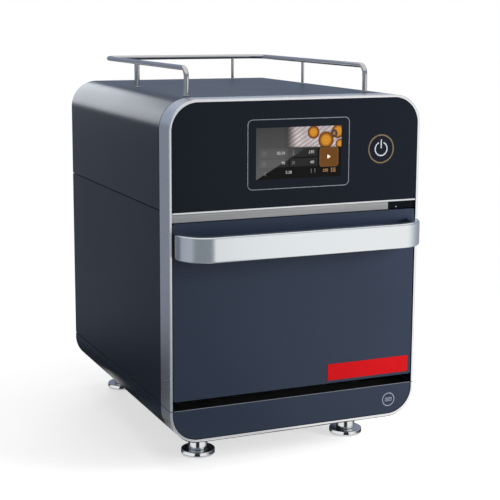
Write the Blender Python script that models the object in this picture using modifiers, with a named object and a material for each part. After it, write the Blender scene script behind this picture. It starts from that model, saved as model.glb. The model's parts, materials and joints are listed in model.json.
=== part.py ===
# Countertop speed oven: upright rounded casing on four feet, drop-down door, control glass
# above it, pull-off cover below it. Metres, +Z up, front towards -Y, floor at z = 0.
# The origin lies under the middle of the overall box.

import math

import bmesh
import bpy
from mathutils import Matrix, Vector

# General
SHEET = 0.0015
THIN_SHEET = 0.0012
TOUCH_GAP = 0.0003
SLIDE_GAP = 0.0005
SEAM_GAP = 0.0010
CUT_OVERRUN = 0.004
WELD = 0.00001

# Casing
SIDE_BAY_WIDTH = 0.052
REAR_BAY_DEPTH = 0.0935
CEILING_BAY_HEIGHT = 0.073
HOOD_HEIGHT = 0.167
FOOT_HEIGHT = 0.050
CORNER_RADIUS = 0.046
LOWER_BAND_HEIGHT = 0.053
SEAM_FOLD = 0.010
REAR_RECESS = 0.003
REAR_RIM_DEPTH = 0.012

# Front frame
FRAME_DEPTH = 0.042
FRAME_LIP = 0.004
FRAME_SHEET = 0.0018
FRAME_EDGE_RADIUS = 0.0007

# Control panel
GLASS_THICKNESS = 0.004
GLASS_SETBACK = 0.0008
TRIM_HEIGHT = 0.003
TRIM_DEPTH = 0.006
STRIP_HEIGHT = 0.0115
STRIP_SETBACK = 0.003
SENSOR_WIDTH = 0.0481
CARRIER_SETBACK = 0.0200
DISPLAY_WIDTH = 0.160
DISPLAY_HEIGHT = 0.094
DISPLAY_RISE = 0.083
DISPLAY_BEZEL = 0.006
DISPLAY_RECESS = 0.0010
CARRIER_WINDOW_WIDTH = 0.060
CARRIER_WINDOW_HEIGHT = 0.024
BOARD_WIDTH = 0.150
BOARD_HEIGHT = 0.090
BOARD_THICKNESS = 0.0016
BOARD_STANDOFF = 0.0040
STANDOFF_RADIUS = 0.0030
STANDOFF_INSET = 0.006

# Power key
KEY_SIDE_INSET = 0.0685
KEY_RISE = 0.083
KEY_RADIUS = 0.0200
KEY_CLEARANCE = 0.0004
KEY_FLANGE_EXTRA = 0.0014
KEY_FLANGE_THICKNESS = 0.0010
KEY_STEM_RADIUS = 0.0030
KEY_STEM_LENGTH = 0.0012
KEY_TRAVEL = 0.0012
SWITCH_BODY_RADIUS = 0.0150
SWITCH_PLUNGER_RADIUS = 0.0040
SWITCH_PLUNGER_LENGTH = 0.0020

# Door
SILL_GAP = 0.014
DOOR_TOP_GAP = 0.0012
DOOR_SIDE_GAP = 0.0014
DOOR_SETBACK = 0.0010
DOOR_SKIN_DEPTH = 0.036
DOOR_CORNER_RADIUS = 0.0030
DOOR_EDGE_RADIUS = 0.0012
PAN_RIM_INSET = 0.0020
PLUG_HEIGHT = 0.0095
PLUG_CLEARANCE = 0.004
PLUG_DRAFT = 0.0015
SEAL_WIDTH = 0.009
SEAL_OFFSET = 0.0035
SEAL_EDGE_RADIUS = 0.0010
SLAB_SIDE_INSET = 0.019
SLAB_BOTTOM_INSET = 0.033
SLAB_TOP_INSET = 0.006

# Door handle
HANDLE_SIDE_INSET = 0.0011
HANDLE_HEIGHT = 0.0385
HANDLE_THICKNESS = 0.014
HANDLE_REACH = 0.052
HANDLE_END_RADIUS = 0.047
HANDLE_DROP = 0.014
HANDLE_EDGE_RADIUS = 0.003

# Door hinge and latch
HINGE_RISE = 0.011
HINGE_SETBACK = 0.012
PIN_RADIUS = 0.0040
PIN_CLEARANCE = 0.0003
TONGUE_RADIUS = 0.0090
TONGUE_THICKNESS = 0.0040
TONGUE_INSET = 0.0105
BRACKET_PLATE_WIDTH = 0.008
BRACKET_PLATE_HEIGHT = 0.036
BRACKET_PLATE_THICKNESS = 0.003
NOTCH_GAP = 0.0020
ARM_THICKNESS = 0.003
ARM_GAP = 0.0035
ARM_HEIGHT = 0.070
HOOK_SIDE_INSET = 0.090
HOOK_DROP = 0.0165
HOOK_HEIGHT = 0.008
HOOK_NOSE_RISE = 0.003
HOOK_NOSE_LENGTH = 0.006
HOOK_LENGTH = 0.018
HOOK_THICKNESS = 0.003
HOOK_SLOT_HEIGHT = 0.020
HOOK_SLOT_WIDTH = 0.008
INTERLOCK_WIDTH = 0.012
INTERLOCK_HEIGHT = 0.018
INTERLOCK_DEPTH = 0.022

# Oven cavity
CAVITY_WIDTH = 0.316
CAVITY_HEIGHT = 0.180
COOK_DEPTH = 0.316
FAN_CHAMBER_DEPTH = 0.046
CAVITY_FLOOR_RISE = 0.047
CAVITY_CORNER = 0.012
FLANGE_SETBACK = 0.043
LEDGE_RISE = 0.030
LEDGE_WIDTH = 0.010
LEDGE_HEIGHT = 0.006
INSULATION = 0.016
JET_PLATE_DROP = 0.016
JET_PLATE_GAP = 0.0020
JET_RADIUS = 0.006
JET_PITCH = 0.062
JET_COLUMNS = 4
JET_ROWS = 4
GUARD_HOLE_RADIUS = 0.0070
GUARD_RINGS = 2
GUARD_RING_PITCH = 0.022
PLATE_CLEARANCE = 0.004
PLATE_THICKNESS = 0.004
PLATE_RIM = 0.006

# Convection fan, heater and catalyst
FAN_COIL_GAP = 0.011
FAN_HUB_RADIUS = 0.012
FAN_DISC = 0.0015
FAN_BLADE_DEPTH = 0.018
FAN_BLADE_SHEET = 0.0015
FAN_BLADE_INNER = 0.026
FAN_BLADES = 8
FAN_FRONT_GAP = 0.0165
SHAFT_RADIUS = 0.0040
SHAFT_HOLE_RADIUS = 0.0070
SHAFT_END_GAP = 0.002
MOTOR_RADIUS = 0.038
MOTOR_LENGTH = 0.056
MOTOR_FACE_GAP = 0.003
COIL_MARGIN = 0.009
COIL_TUBE_RADIUS = 0.0035
COIL_PITCH = 0.014
COIL_TURNS = 2
COIL_POINTS_A_TURN = 20
COIL_LEG_SPREAD = 0.012
COIL_BEND = 0.006
CATALYST_RADIUS = 0.046
CATALYST_THICKNESS = 0.008
CATALYST_GAP = 0.0025
CATALYST_HOLE_RADIUS = 0.0090
CATALYST_RING_PITCH = 0.0280
CATALYST_RINGS = 1
CATALYST_FEET = 3

# Microwave side
GUIDE_HEIGHT = 0.040
GUIDE_WIDTH = 0.092
GUIDE_LEFT_X = -0.055
GUIDE_RIGHT_X = 0.145
FEED_RADIUS = 0.040
FEED_DEPTH = 0.135
ANTENNA_X = 0.100
ANTENNA_RADIUS = 0.0065
ANTENNA_LENGTH = 0.024
ANTENNA_HOLE_RADIUS = 0.0090
MAGNETRON_WIDTH = 0.072
MAGNETRON_DEPTH = 0.060
MAGNETRON_HEIGHT = 0.066
MAGNETRON_BASE = 0.0020
MAGNETRON_BASE_EXTRA = 0.010
MAGNETRON_FIN_GAP = 0.0055
MAGNETRON_FIN_CUT = 0.008
MAGNETRON_FINS = 5
STIRRER_RADIUS = 0.034
STIRRER_BLADE_SHEET = 0.0015
STIRRER_BLADE_WIDTH = 0.016
STIRRER_HUB_RADIUS = 0.007
STIRRER_HUB_HEIGHT = 0.010
STIRRER_BLADES = 3
STIRRER_RISE = 0.010
STIRRER_SHAFT_RADIUS = 0.0025
STIRRER_SHAFT_LENGTH = 0.032
STIRRER_MOTOR_RADIUS = 0.024
STIRRER_MOTOR_HEIGHT = 0.018

# Component shelf and what stands on it
SHELF_FLANGE = 0.014
SHELF_FRONT_INSET = 0.030
SHELF_REAR_INSET = 0.030
INVERTER_WIDTH = 0.110
INVERTER_DEPTH = 0.150
INVERTER_HEIGHT = 0.050
INVERTER_SIDE_INSET = 0.090
INVERTER_FRONT_INSET = 0.075
INVERTER_FINS = 6
INVERTER_FIN_DEPTH = 0.022
INVERTER_FIN_SHARE = 0.5
FILTER_BOX_WIDTH = 0.060
FILTER_BOX_DEPTH = 0.050
FILTER_BOX_HEIGHT = 0.036
FILTER_BOX_SIDE_INSET = 0.070
FILTER_BOX_GAP = 0.008
TERMINAL_SIZE = 0.006
COOLER_SIZE = 0.120
COOLER_DEPTH = 0.038
COOLER_BORE_RADIUS = 0.056
COOLER_HUB_RADIUS = 0.020
COOLER_HUB_DEPTH = 0.006
COOLER_STRUT = 0.004
COOLER_STRUTS = 3
COOLER_SIDE_INSET = 0.110
COOLER_RISE = 0.067
COOLER_BLADES = 7
COOLER_BLADE_RADIUS = 0.0535
COOLER_BLADE_SHEET = 0.0018
COOLER_BLADE_ANGLE = math.radians(38)
COOLER_BLADE_SHARE = 0.5
COOLER_CORNER = 0.006
ROTOR_DEPTH = 0.024
ROTOR_GAP = 0.002

# Rear panel
SLOT_LENGTH = 0.104
SLOT_HEIGHT = 0.004
SLOT_PITCH = 0.012
COOLER_SLOTS = 9
LOW_SLOTS = 4
LOW_SLOT_RISE = 0.035
LOW_SLOT_SIDE_INSET = 0.120
GLAND_SIDE_INSET = 0.070
GLAND_RISE = 0.047
GLAND_HOLE_RADIUS = 0.0100
GLAND_BODY_RADIUS = 0.0096
GLAND_NUT_RADIUS = 0.0150
GLAND_NUT_LENGTH = 0.006
GLAND_CAP_RADIUS = 0.0120
GLAND_BORE_RADIUS = 0.0055
GLAND_PROUD = 0.018
GLAND_INNER_LENGTH = 0.010

# Lower front cover
COVER_RETURN = 0.032
COVER_EDGE_RADIUS = 0.0010
COVER_TOP_RADIUS = 0.0020
FILTER_SETBACK = 0.0445
FILTER_THICKNESS = 0.010
FILTER_BORDER = 0.006
FILTER_LEFT_INSET = 0.020
FILTER_RIGHT_INSET = 0.075
FILTER_COLUMNS = 13
FILTER_BAR = 0.003
FILTER_ARM_X = 0.095
FILTER_ARM_SIZE = 0.012
SOCKET_SIDE_INSET = 0.045
SOCKET_RISE = 0.0276
SOCKET_WIDTH = 0.016
SOCKET_HEIGHT = 0.010
SOCKET_DEPTH = 0.015
SOCKET_PORT_WIDTH = 0.012
SOCKET_PORT_HEIGHT = 0.005
SOCKET_PLATE_WIDTH = 0.026
SOCKET_PLATE_THICKNESS = 0.002
SOCKET_PLATE_SETBACK = 0.046

# Feet
FOOT_SIDE_INSET = 0.0775
FOOT_FRONT_INSET = 0.086
FOOT_REAR_INSET = 0.040
PAD_RADIUS = 0.027
PAD_HEIGHT = 0.0095
PAD_EDGE = 0.0012
SLEEVE_RADIUS = 0.0153
SLEEVE_BORE_RADIUS = 0.0066
SLEEVE_BORE_DEPTH = 0.034
SLEEVE_EDGE = 0.0008
STUD_RADIUS = 0.0060
STUD_LENGTH = 0.030

# Gallery rail
RAIL_RADIUS = 0.0042
RAIL_RISE = 0.0415
RAIL_SIDE_INSET = 0.056
RAIL_FRONT_INSET = 0.079
RAIL_REAR_INSET = 0.025
RAIL_BEND = 0.014
RAIL_MIDDLE_INSET = 0.307
RAIL_POST_INSET = 0.056
POST_RADIUS = 0.0031
POST_BASE_RADIUS = 0.0075
POST_BASE_HEIGHT = 0.0018
BEND_STEPS = 5

# Worked out from the sizes above
# The casing grows with the cavity, and what it holds keeps its bays around it.
HALF_WIDTH = CAVITY_WIDTH / 2 + SIDE_BAY_WIDTH
UNDERSIDE_Z = FOOT_HEIGHT
LOWER_SEAM_Z = UNDERSIDE_Z + LOWER_BAND_HEIGHT
UPPER_SEAM_Z = LOWER_SEAM_Z + CAVITY_FLOOR_RISE + CAVITY_HEIGHT + CEILING_BAY_HEIGHT
TOP_Z = UPPER_SEAM_Z + HOOD_HEIGHT
LINER_WRAP = THIN_SHEET + TOUCH_GAP + INSULATION
BODY_DEPTH = FLANGE_SETBACK + COOK_DEPTH + FAN_CHAMBER_DEPTH + LINER_WRAP + REAR_BAY_DEPTH
GLAND_TAIL = GLAND_PROUD - REAR_RECESS
OVERALL_DEPTH = HANDLE_REACH + BODY_DEPTH + GLAND_TAIL
FRONT_Y = HANDLE_REACH - OVERALL_DEPTH / 2
REAR_Y = FRONT_Y + BODY_DEPTH
FRAME_REAR_Y = FRONT_Y + FRAME_DEPTH
COVERS_FRONT_Y = FRAME_REAR_Y + SEAM_GAP
INNER_HALF = HALF_WIDTH - SHEET
FACE_HALF = HALF_WIDTH - FRAME_LIP - TOUCH_GAP
FACE_RADIUS = CORNER_RADIUS - FRAME_LIP - TOUCH_GAP
SENSOR_LEFT_X = FACE_HALF - SENSOR_WIDTH
DISPLAY_CENTRE_Z = UPPER_SEAM_Z + DISPLAY_RISE
KEY_X = HALF_WIDTH - KEY_SIDE_INSET
KEY_Z = UPPER_SEAM_Z + KEY_RISE

TRIM_TOP_Z = UPPER_SEAM_Z + TRIM_HEIGHT / 2
TRIM_LOW_Z = TRIM_TOP_Z - TRIM_HEIGHT
STRIP_TOP_Z = TRIM_LOW_Z - TOUCH_GAP
STRIP_LOW_Z = STRIP_TOP_Z - STRIP_HEIGHT
GLASS_LOW_Z = TRIM_TOP_Z + TOUCH_GAP
GLASS_TOP_Z = TOP_Z - FRAME_LIP - TOUCH_GAP
GLASS_FRONT_Y = FRONT_Y + GLASS_SETBACK
GLASS_REAR_Y = GLASS_FRONT_Y + GLASS_THICKNESS
CARRIER_Y = FRONT_Y + CARRIER_SETBACK
CARRIER_REAR_Y = CARRIER_Y + SHEET

DOOR_TOP_Z = STRIP_LOW_Z - DOOR_TOP_GAP
DOOR_LOW_Z = LOWER_SEAM_Z + SILL_GAP
DOOR_HALF = HALF_WIDTH - FRAME_LIP - DOOR_SIDE_GAP
DOOR_FRONT_Y = FRONT_Y + DOOR_SETBACK
SKIN_REAR_Y = DOOR_FRONT_Y + DOOR_SKIN_DEPTH
PAN_FACE_Y = SKIN_REAR_Y + TOUCH_GAP + THIN_SHEET
FLANGE_Y = FRONT_Y + FLANGE_SETBACK
HINGE_Y = FRONT_Y + HINGE_SETBACK
HINGE_Z = DOOR_LOW_Z + HINGE_RISE
TONGUE_OUTER_X = HALF_WIDTH - TONGUE_INSET
TONGUE_INNER_X = TONGUE_OUTER_X - TONGUE_THICKNESS
ARM_INNER_X = TONGUE_INNER_X - ARM_GAP - ARM_THICKNESS
HANDLE_HALF = DOOR_HALF - HANDLE_SIDE_INSET
HOOK_X = HALF_WIDTH - HOOK_SIDE_INSET

FLANGE_LOW_Z = LOWER_SEAM_Z + SEAM_GAP / 2 + SHEET + TOUCH_GAP
FLANGE_TOP_Z = UPPER_SEAM_Z - SEAM_GAP / 2 - SHEET - TOUCH_GAP
FLANGE_HALF = INNER_HALF - TOUCH_GAP
CAVITY_LOW_Z = LOWER_SEAM_Z + CAVITY_FLOOR_RISE
CAVITY_TOP_Z = CAVITY_LOW_Z + CAVITY_HEIGHT
CAVITY_HALF = CAVITY_WIDTH / 2
COIL_RADIUS = CAVITY_HEIGHT / 2 - COIL_MARGIN
FAN_RADIUS = COIL_RADIUS - FAN_COIL_GAP
CAVITY_MIDDLE_Z = (CAVITY_LOW_Z + CAVITY_TOP_Z) / 2
GUARD_Y = FLANGE_Y + COOK_DEPTH
LINER_REAR_Y = GUARD_Y + FAN_CHAMBER_DEPTH
BLANKET_FRONT_Y = FLANGE_Y + THIN_SHEET + TOUCH_GAP
BLANKET_REAR_Y = LINER_REAR_Y + LINER_WRAP
MOTOR_FACE_Y = BLANKET_REAR_Y + TOUCH_GAP + MOTOR_FACE_GAP
FEED_Y = FLANGE_Y + FEED_DEPTH
GUIDE_LOW_Z = CAVITY_TOP_Z + THIN_SHEET + TOUCH_GAP
GUIDE_TOP_Z = GUIDE_LOW_Z + GUIDE_HEIGHT
SHELF_LOW_Z = GUIDE_TOP_Z + TOUCH_GAP
SHELF_TOP_Z = SHELF_LOW_Z + SHEET
STAND_Z = SHELF_TOP_Z + TOUCH_GAP
PANEL_REAR_Y = REAR_Y - REAR_RECESS
PANEL_INNER_Y = PANEL_REAR_Y - SHEET
INVERTER_X = INVERTER_SIDE_INSET - HALF_WIDTH
FILTER_BOX_X = FILTER_BOX_SIDE_INSET - HALF_WIDTH
COOLER_X = HALF_WIDTH - COOLER_SIDE_INSET
COOLER_Z = UPPER_SEAM_Z + COOLER_RISE
GLAND_X = GLAND_SIDE_INSET - HALF_WIDTH
GLAND_Z = UPPER_SEAM_Z + GLAND_RISE
LOW_SLOT_X = HALF_WIDTH - LOW_SLOT_SIDE_INSET
LOW_SLOT_Z = UNDERSIDE_Z + LOW_SLOT_RISE
COVER_TOP_Z = LOWER_SEAM_Z - SEAM_GAP / 2
COVER_LOW_Z = UNDERSIDE_Z + FRAME_LIP + TOUCH_GAP
TRAY_FLOOR_Z = UNDERSIDE_Z + SHEET
FILTER_LEFT_X = FILTER_LEFT_INSET - HALF_WIDTH
FILTER_RIGHT_X = HALF_WIDTH - FILTER_RIGHT_INSET
SOCKET_X = HALF_WIDTH - SOCKET_SIDE_INSET
SOCKET_Z = UNDERSIDE_Z + SOCKET_RISE
RAIL_X = HALF_WIDTH - RAIL_SIDE_INSET
RAIL_REAR_POST_X = RAIL_X - RAIL_POST_INSET
FOOT_X = HALF_WIDTH - FOOT_SIDE_INSET
SLEEVE_TOP_Z = UNDERSIDE_Z - TOUCH_GAP
SLEEVE_LOW_Z = PAD_HEIGHT + TOUCH_GAP
FOOT_PLACES = {
    "front_left": (-FOOT_X, FRONT_Y + FOOT_FRONT_INSET),
    "front_right": (FOOT_X, FRONT_Y + FOOT_FRONT_INSET),
    "rear_left": (-FOOT_X, REAR_Y - FOOT_REAR_INSET),
    "rear_right": (FOOT_X, REAR_Y - FOOT_REAR_INSET),
}
SIDES = {"left": -1, "right": 1}

# Counts of segments
CORNER_STEPS = 8
SMALL_STEPS = 3
ROUND_STEPS = 20
HOLE_STEPS = 8
CELL_STEPS = 6
ROD_STEPS = 12
HOLE_PHASE = math.radians(7)
SMOOTH_ANGLE = math.radians(35)
BEVEL_ANGLE = math.radians(50)
TWO_PI = 2 * math.pi
RIGHT_ANGLE = math.pi / 2

# Finishes: colour, roughness, metallic
FINISHES = {
    "paint": ((0.045, 0.055, 0.075), 0.42, 0.25),
    "satin_silver": ((0.62, 0.64, 0.67), 0.32, 1.0),
    "satin_aluminium": ((0.78, 0.79, 0.81), 0.34, 1.0),
    "polished_steel": ((0.66, 0.66, 0.67), 0.16, 1.0),
    "brushed_steel": ((0.55, 0.55, 0.56), 0.30, 1.0),
    "zinc_steel": ((0.50, 0.52, 0.54), 0.40, 1.0),
    "black_glass": ((0.010, 0.011, 0.014), 0.05, 0.0),
    "black_plastic": ((0.020, 0.020, 0.022), 0.45, 0.0),
    "circuit_board": ((0.020, 0.110, 0.060), 0.50, 0.0),
    "insulation_wool": ((0.62, 0.60, 0.54), 0.95, 0.0),
    "silicone": ((0.090, 0.090, 0.095), 0.60, 0.0),
    "heater_sheath": ((0.18, 0.17, 0.16), 0.50, 0.9),
    "cast_aluminium": ((0.60, 0.60, 0.61), 0.45, 1.0),
    "ceramic": ((0.70, 0.68, 0.62), 0.70, 0.0),
    "filter_mesh": ((0.35, 0.36, 0.37), 0.50, 0.8),
}


# Scene helpers

def clear_scene():
    for obj in list(bpy.data.objects):
        bpy.data.objects.remove(obj, do_unlink=True)


def new_collection(name):
    collection = bpy.data.collections.new(name)
    bpy.context.scene.collection.children.link(collection)
    return collection


clear_scene()
PARTS = new_collection("speed_oven")
CUTTERS = new_collection("speed_oven_cutters")


def finish_material(name, finish):
    colour, roughness, metallic = FINISHES[finish]
    material = bpy.data.materials.new(name)
    material.use_nodes = True
    shader = material.node_tree.nodes["Principled BSDF"]
    shader.inputs["Base Color"].default_value = (*colour, 1.0)
    shader.inputs["Roughness"].default_value = roughness
    shader.inputs["Metallic"].default_value = metallic
    material.diffuse_color = (*colour, 1.0)
    return material


def add_object(name, mesh, finish=None):
    # With a finish the object is a piece; without one it is a cutter or a shape to join.
    obj = bpy.data.objects.new(name, mesh)
    if finish:
        PARTS.objects.link(obj)
        mesh.materials.append(finish_material(name, finish))
    else:
        CUTTERS.objects.link(obj)
        obj.hide_render = True
        obj.display_type = "WIRE"
    return obj


def mesh_from_bmesh(name, bm):
    mesh = bpy.data.meshes.new(name)
    bm.to_mesh(mesh)
    bm.free()
    return mesh


def shade_round(obj):
    obj.data.shade_smooth()
    obj.data.set_sharp_from_angle(angle=SMOOTH_ANGLE)


# Modifiers

def solidify(obj, thickness, outward=False):
    modifier = obj.modifiers.new("sheet", "SOLIDIFY")
    modifier.thickness = thickness
    modifier.offset = 1.0 if outward else -1.0
    modifier.use_even_offset = True
    modifier.use_quality_normals = True


def bevel(obj, width, segments):
    modifier = obj.modifiers.new("edge", "BEVEL")
    modifier.width = width
    modifier.segments = segments
    modifier.limit_method = "ANGLE"
    modifier.angle_limit = BEVEL_ANGLE
    modifier.use_clamp_overlap = True


def boolean(obj, other, operation):
    modifier = obj.modifiers.new(operation.lower(), "BOOLEAN")
    modifier.operation = operation
    modifier.solver = "EXACT"
    modifier.object = other


def cut(obj, cutter):
    boolean(obj, cutter, "DIFFERENCE")


def join(obj, shape):
    boolean(obj, shape, "UNION")


# Basic solids

def box(name, low, high, finish=None):
    bm = bmesh.new()
    bmesh.ops.create_cube(bm, size=1.0)
    size = Vector(high) - Vector(low)
    middle = (Vector(high) + Vector(low)) / 2
    bmesh.ops.scale(bm, vec=size, verts=bm.verts)
    bmesh.ops.translate(bm, vec=middle, verts=bm.verts)
    return add_object(name, mesh_from_bmesh(name, bm), finish)


def boxes(name, corners):
    # Several separate boxes in one cutter.
    bm = bmesh.new()
    for low, high in corners:
        made = bmesh.ops.create_cube(bm, size=1.0)["verts"]
        bmesh.ops.scale(bm, vec=Vector(high) - Vector(low), verts=made)
        bmesh.ops.translate(bm, vec=(Vector(high) + Vector(low)) / 2, verts=made)
    return add_object(name, mesh_from_bmesh(name, bm))


AXIS_TURNS = {
    "x": Matrix.Rotation(RIGHT_ANGLE, 4, "Y"),
    "y": Matrix.Rotation(-RIGHT_ANGLE, 4, "X"),
    "z": Matrix.Identity(4),
}


def add_rod(bm, start, length, radius, axis, steps):
    turn = AXIS_TURNS[axis]
    middle = Vector(start) + turn @ Vector((0, 0, length / 2))
    bmesh.ops.create_cone(
        bm, cap_ends=True, segments=steps, radius1=radius, radius2=radius,
        depth=length, matrix=Matrix.Translation(middle) @ turn)


def rod(name, start, length, radius, axis, finish=None, steps=ROUND_STEPS):
    bm = bmesh.new()
    add_rod(bm, start, length, radius, axis, steps)
    obj = add_object(name, mesh_from_bmesh(name, bm), finish)
    shade_round(obj)
    return obj


def rods(name, starts, length, radius, axis, steps=HOLE_STEPS):
    # Several separate rods in one cutter.
    bm = bmesh.new()
    for start in starts:
        add_rod(bm, start, length, radius, axis, steps)
    return add_object(name, mesh_from_bmesh(name, bm))


def turned(name, profile, place, axis="z", finish=None, steps=ROUND_STEPS):
    # Profile of (radius, height) pairs, down the outer side, about the axis through place.
    bm = bmesh.new()
    corners = [bm.verts.new((radius, 0, height)) for radius, height in profile]
    for first, second in zip(corners, corners[1:]):
        bm.edges.new((first, second))
    if profile[0][0] > 0:
        bm.edges.new((corners[-1], corners[0]))
    obj = add_object(name, mesh_from_bmesh(name, bm), finish)
    obj.matrix_world = Matrix.Translation(place) @ AXIS_TURNS[axis]
    screw = obj.modifiers.new("turn", "SCREW")
    screw.angle = TWO_PI
    screw.steps = steps
    screw.render_steps = steps
    screw.use_merge_vertices = True
    screw.merge_threshold = WELD
    screw.use_smooth_shade = True
    return obj


# Outlines in a plane, as lists of (across, up) pairs, clockwise as seen from the front

def arc(centre, radius, start, end, steps):
    turn = (end - start) / steps
    return [
        (centre[0] + radius * math.cos(start + i * turn),
         centre[1] + radius * math.sin(start + i * turn))
        for i in range(steps + 1)]


def hood_path(half, low, high, radius):
    # Up the left side, over the top and down the right side.
    left = arc((-half + radius, high - radius), radius, math.pi, RIGHT_ANGLE, CORNER_STEPS)
    right = arc((half - radius, high - radius), radius, RIGHT_ANGLE, 0, CORNER_STEPS)
    return [(-half, low)] + left + right + [(half, low)]


def tray_path(half, low, high, radius):
    # Down the right side, under the bottom and up the left side.
    right = arc((half - radius, low + radius), radius, 0, -RIGHT_ANGLE, CORNER_STEPS)
    left = arc((-half + radius, low + radius), radius, -RIGHT_ANGLE, -math.pi, CORNER_STEPS)
    return [(half, high)] + right + left + [(-half, high)]


def rounded_loop(left, right, low, high, low_radius, high_radius, steps=SMALL_STEPS):
    loop = arc((left + high_radius, high - high_radius), high_radius, math.pi, RIGHT_ANGLE, steps)
    loop += arc((right - high_radius, high - high_radius), high_radius, RIGHT_ANGLE, 0, steps)
    loop += arc((right - low_radius, low + low_radius), low_radius, 0, -RIGHT_ANGLE, steps)
    loop += arc((left + low_radius, low + low_radius), low_radius, -RIGHT_ANGLE, -math.pi, steps)
    return loop


def rectangle(left, right, low, high):
    return [(left, low), (left, high), (right, high), (right, low)]


def circle(across, up, radius, steps=HOLE_STEPS):
    turn = TWO_PI / steps
    return [
        (across + radius * math.cos(i * turn), up + radius * math.sin(i * turn))
        for i in range(steps)]


def ring_places(count, reach):
    # Turned a little, so that no two holes stand level.
    return [
        (reach * math.cos(HOLE_PHASE + TWO_PI * i / count),
         reach * math.sin(HOLE_PHASE + TWO_PI * i / count))
        for i in range(count)]


def filleted(corners, radius, steps):
    # A polyline in space whose inner corners are rounded.
    points = [Vector(corners[0])]
    for before, corner, after in zip(corners, corners[1:], corners[2:]):
        corner = Vector(corner)
        back = (Vector(before) - corner).normalized()
        ahead = (Vector(after) - corner).normalized()
        half_angle = back.angle(ahead) / 2
        reach = radius / math.tan(half_angle)
        centre = corner + (back + ahead).normalized() * (radius / math.sin(half_angle))
        start = corner + back * reach - centre
        end = corner + ahead * reach - centre
        sweep = start.angle(end)
        for i in range(steps + 1):
            share = i / steps
            weight_start = math.sin((1 - share) * sweep) / math.sin(sweep)
            weight_end = math.sin(share * sweep) / math.sin(sweep)
            points.append(centre + start * weight_start + end * weight_end)
    points.append(Vector(corners[-1]))
    return points


# Sheet metal: an open surface through rows of points, then thickness

def at_depth(path, y):
    return [(across, y, up) for across, up in path]


def sheet(name, rows, thickness, finish=None, closed=False, cap_front=False, cap_rear=False,
          outward=False):
    bm = bmesh.new()
    grid = [[bm.verts.new(point) for point in row] for row in rows]
    count = len(rows[0])
    spans = count if closed else count - 1
    for near, far in zip(grid, grid[1:]):
        for i in range(spans):
            j = (i + 1) % count
            bm.faces.new((near[i], near[j], far[j], far[i]))
    if cap_front:
        bm.faces.new(list(reversed(grid[0])))
    if cap_rear:
        bm.faces.new(grid[-1])
    obj = add_object(name, mesh_from_bmesh(name, bm), finish)
    solidify(obj, thickness, outward)
    shade_round(obj)
    return obj


# Curves made into meshes

def welded_mesh(name, curve, placement):
    guide = bpy.data.objects.new(name + "_guide", curve)
    CUTTERS.objects.link(guide)
    guide.matrix_world = placement
    bpy.context.view_layer.update()
    depsgraph = bpy.context.evaluated_depsgraph_get()
    mesh = bpy.data.meshes.new_from_object(guide.evaluated_get(depsgraph))
    bpy.data.objects.remove(guide, do_unlink=True)
    mesh.name = name
    bm = bmesh.new()
    bm.from_mesh(mesh)
    bmesh.ops.remove_doubles(bm, verts=bm.verts, dist=WELD)
    bmesh.ops.recalc_face_normals(bm, faces=bm.faces)
    bm.to_mesh(mesh)
    bm.free()
    return mesh


PLATE_TURNS = {
    "standing": Matrix.Rotation(RIGHT_ANGLE, 4, "X"),
    "lying": Matrix.Identity(4),
    "sideways": Matrix(((0, 0, 1, 0), (1, 0, 0, 0), (0, 1, 0, 0), (0, 0, 0, 1))),
}
PLATE_AXES = {"standing": Vector((0, 1, 0)), "lying": Vector((0, 0, 1)), "sideways": Vector((1, 0, 0))}


def plate(name, outlines, low, thickness, facing, finish=None):
    # The first outline is the edge and the others are holes. Its lower face is at low.
    curve = bpy.data.curves.new(name, "CURVE")
    curve.dimensions = "2D"
    curve.fill_mode = "BOTH"
    curve.extrude = thickness / 2
    for outline in outlines:
        spline = curve.splines.new("POLY")
        spline.points.add(len(outline) - 1)
        for point, (across, up) in zip(spline.points, outline):
            point.co = (across, up, 0, 1)
        spline.use_cyclic_u = True
    middle = PLATE_AXES[facing] * (low + thickness / 2)
    placement = Matrix.Translation(middle) @ PLATE_TURNS[facing]
    mesh = welded_mesh(name, curve, placement)
    obj = add_object(name, mesh, finish)
    obj.matrix_world = placement
    shade_round(obj)
    return obj


def tube(name, points, radius, finish=None, resolution=2):
    curve = bpy.data.curves.new(name, "CURVE")
    curve.dimensions = "3D"
    curve.bevel_depth = radius
    curve.bevel_resolution = resolution
    curve.use_fill_caps = True
    spline = curve.splines.new("POLY")
    spline.points.add(len(points) - 1)
    for point, place in zip(spline.points, points):
        point.co = (*place, 1)
    obj = add_object(name, welded_mesh(name, curve, Matrix.Identity(4)), finish)
    shade_round(obj)
    return obj


def hang_on(empty_name, place, pieces):
    # An empty on the joint's axis carries the pieces that move there.
    empty = bpy.data.objects.new(empty_name, None)
    empty.empty_display_type = "ARROWS"
    empty.location = place
    PARTS.objects.link(empty)
    bpy.context.view_layer.update()
    for piece in pieces:
        piece.parent = empty
        piece.matrix_parent_inverse = empty.matrix_world.inverted()
    return empty


# Casing

def make_top_cover():
    low = UPPER_SEAM_Z + SEAM_GAP / 2
    path = hood_path(HALF_WIDTH, low, TOP_Z, CORNER_RADIUS)
    path = [(-HALF_WIDTH + SEAM_FOLD, low)] + path + [(HALF_WIDTH - SEAM_FOLD, low)]
    rows = [at_depth(path, COVERS_FRONT_Y), at_depth(path, REAR_Y)]
    return sheet("top_cover", rows, SHEET, "paint")


def make_side_panels():
    low = LOWER_SEAM_Z + SEAM_GAP / 2
    high = UPPER_SEAM_Z - SEAM_GAP / 2
    for side, sign in SIDES.items():
        outer = sign * HALF_WIDTH
        fold = outer - sign * SEAM_FOLD
        path = [(fold, low), (outer, low), (outer, high), (fold, high)]
        if sign > 0:
            path.reverse()
        rows = [at_depth(path, COVERS_FRONT_Y), at_depth(path, REAR_Y)]
        sheet(side + "_side_panel", rows, SHEET, "paint")


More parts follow.
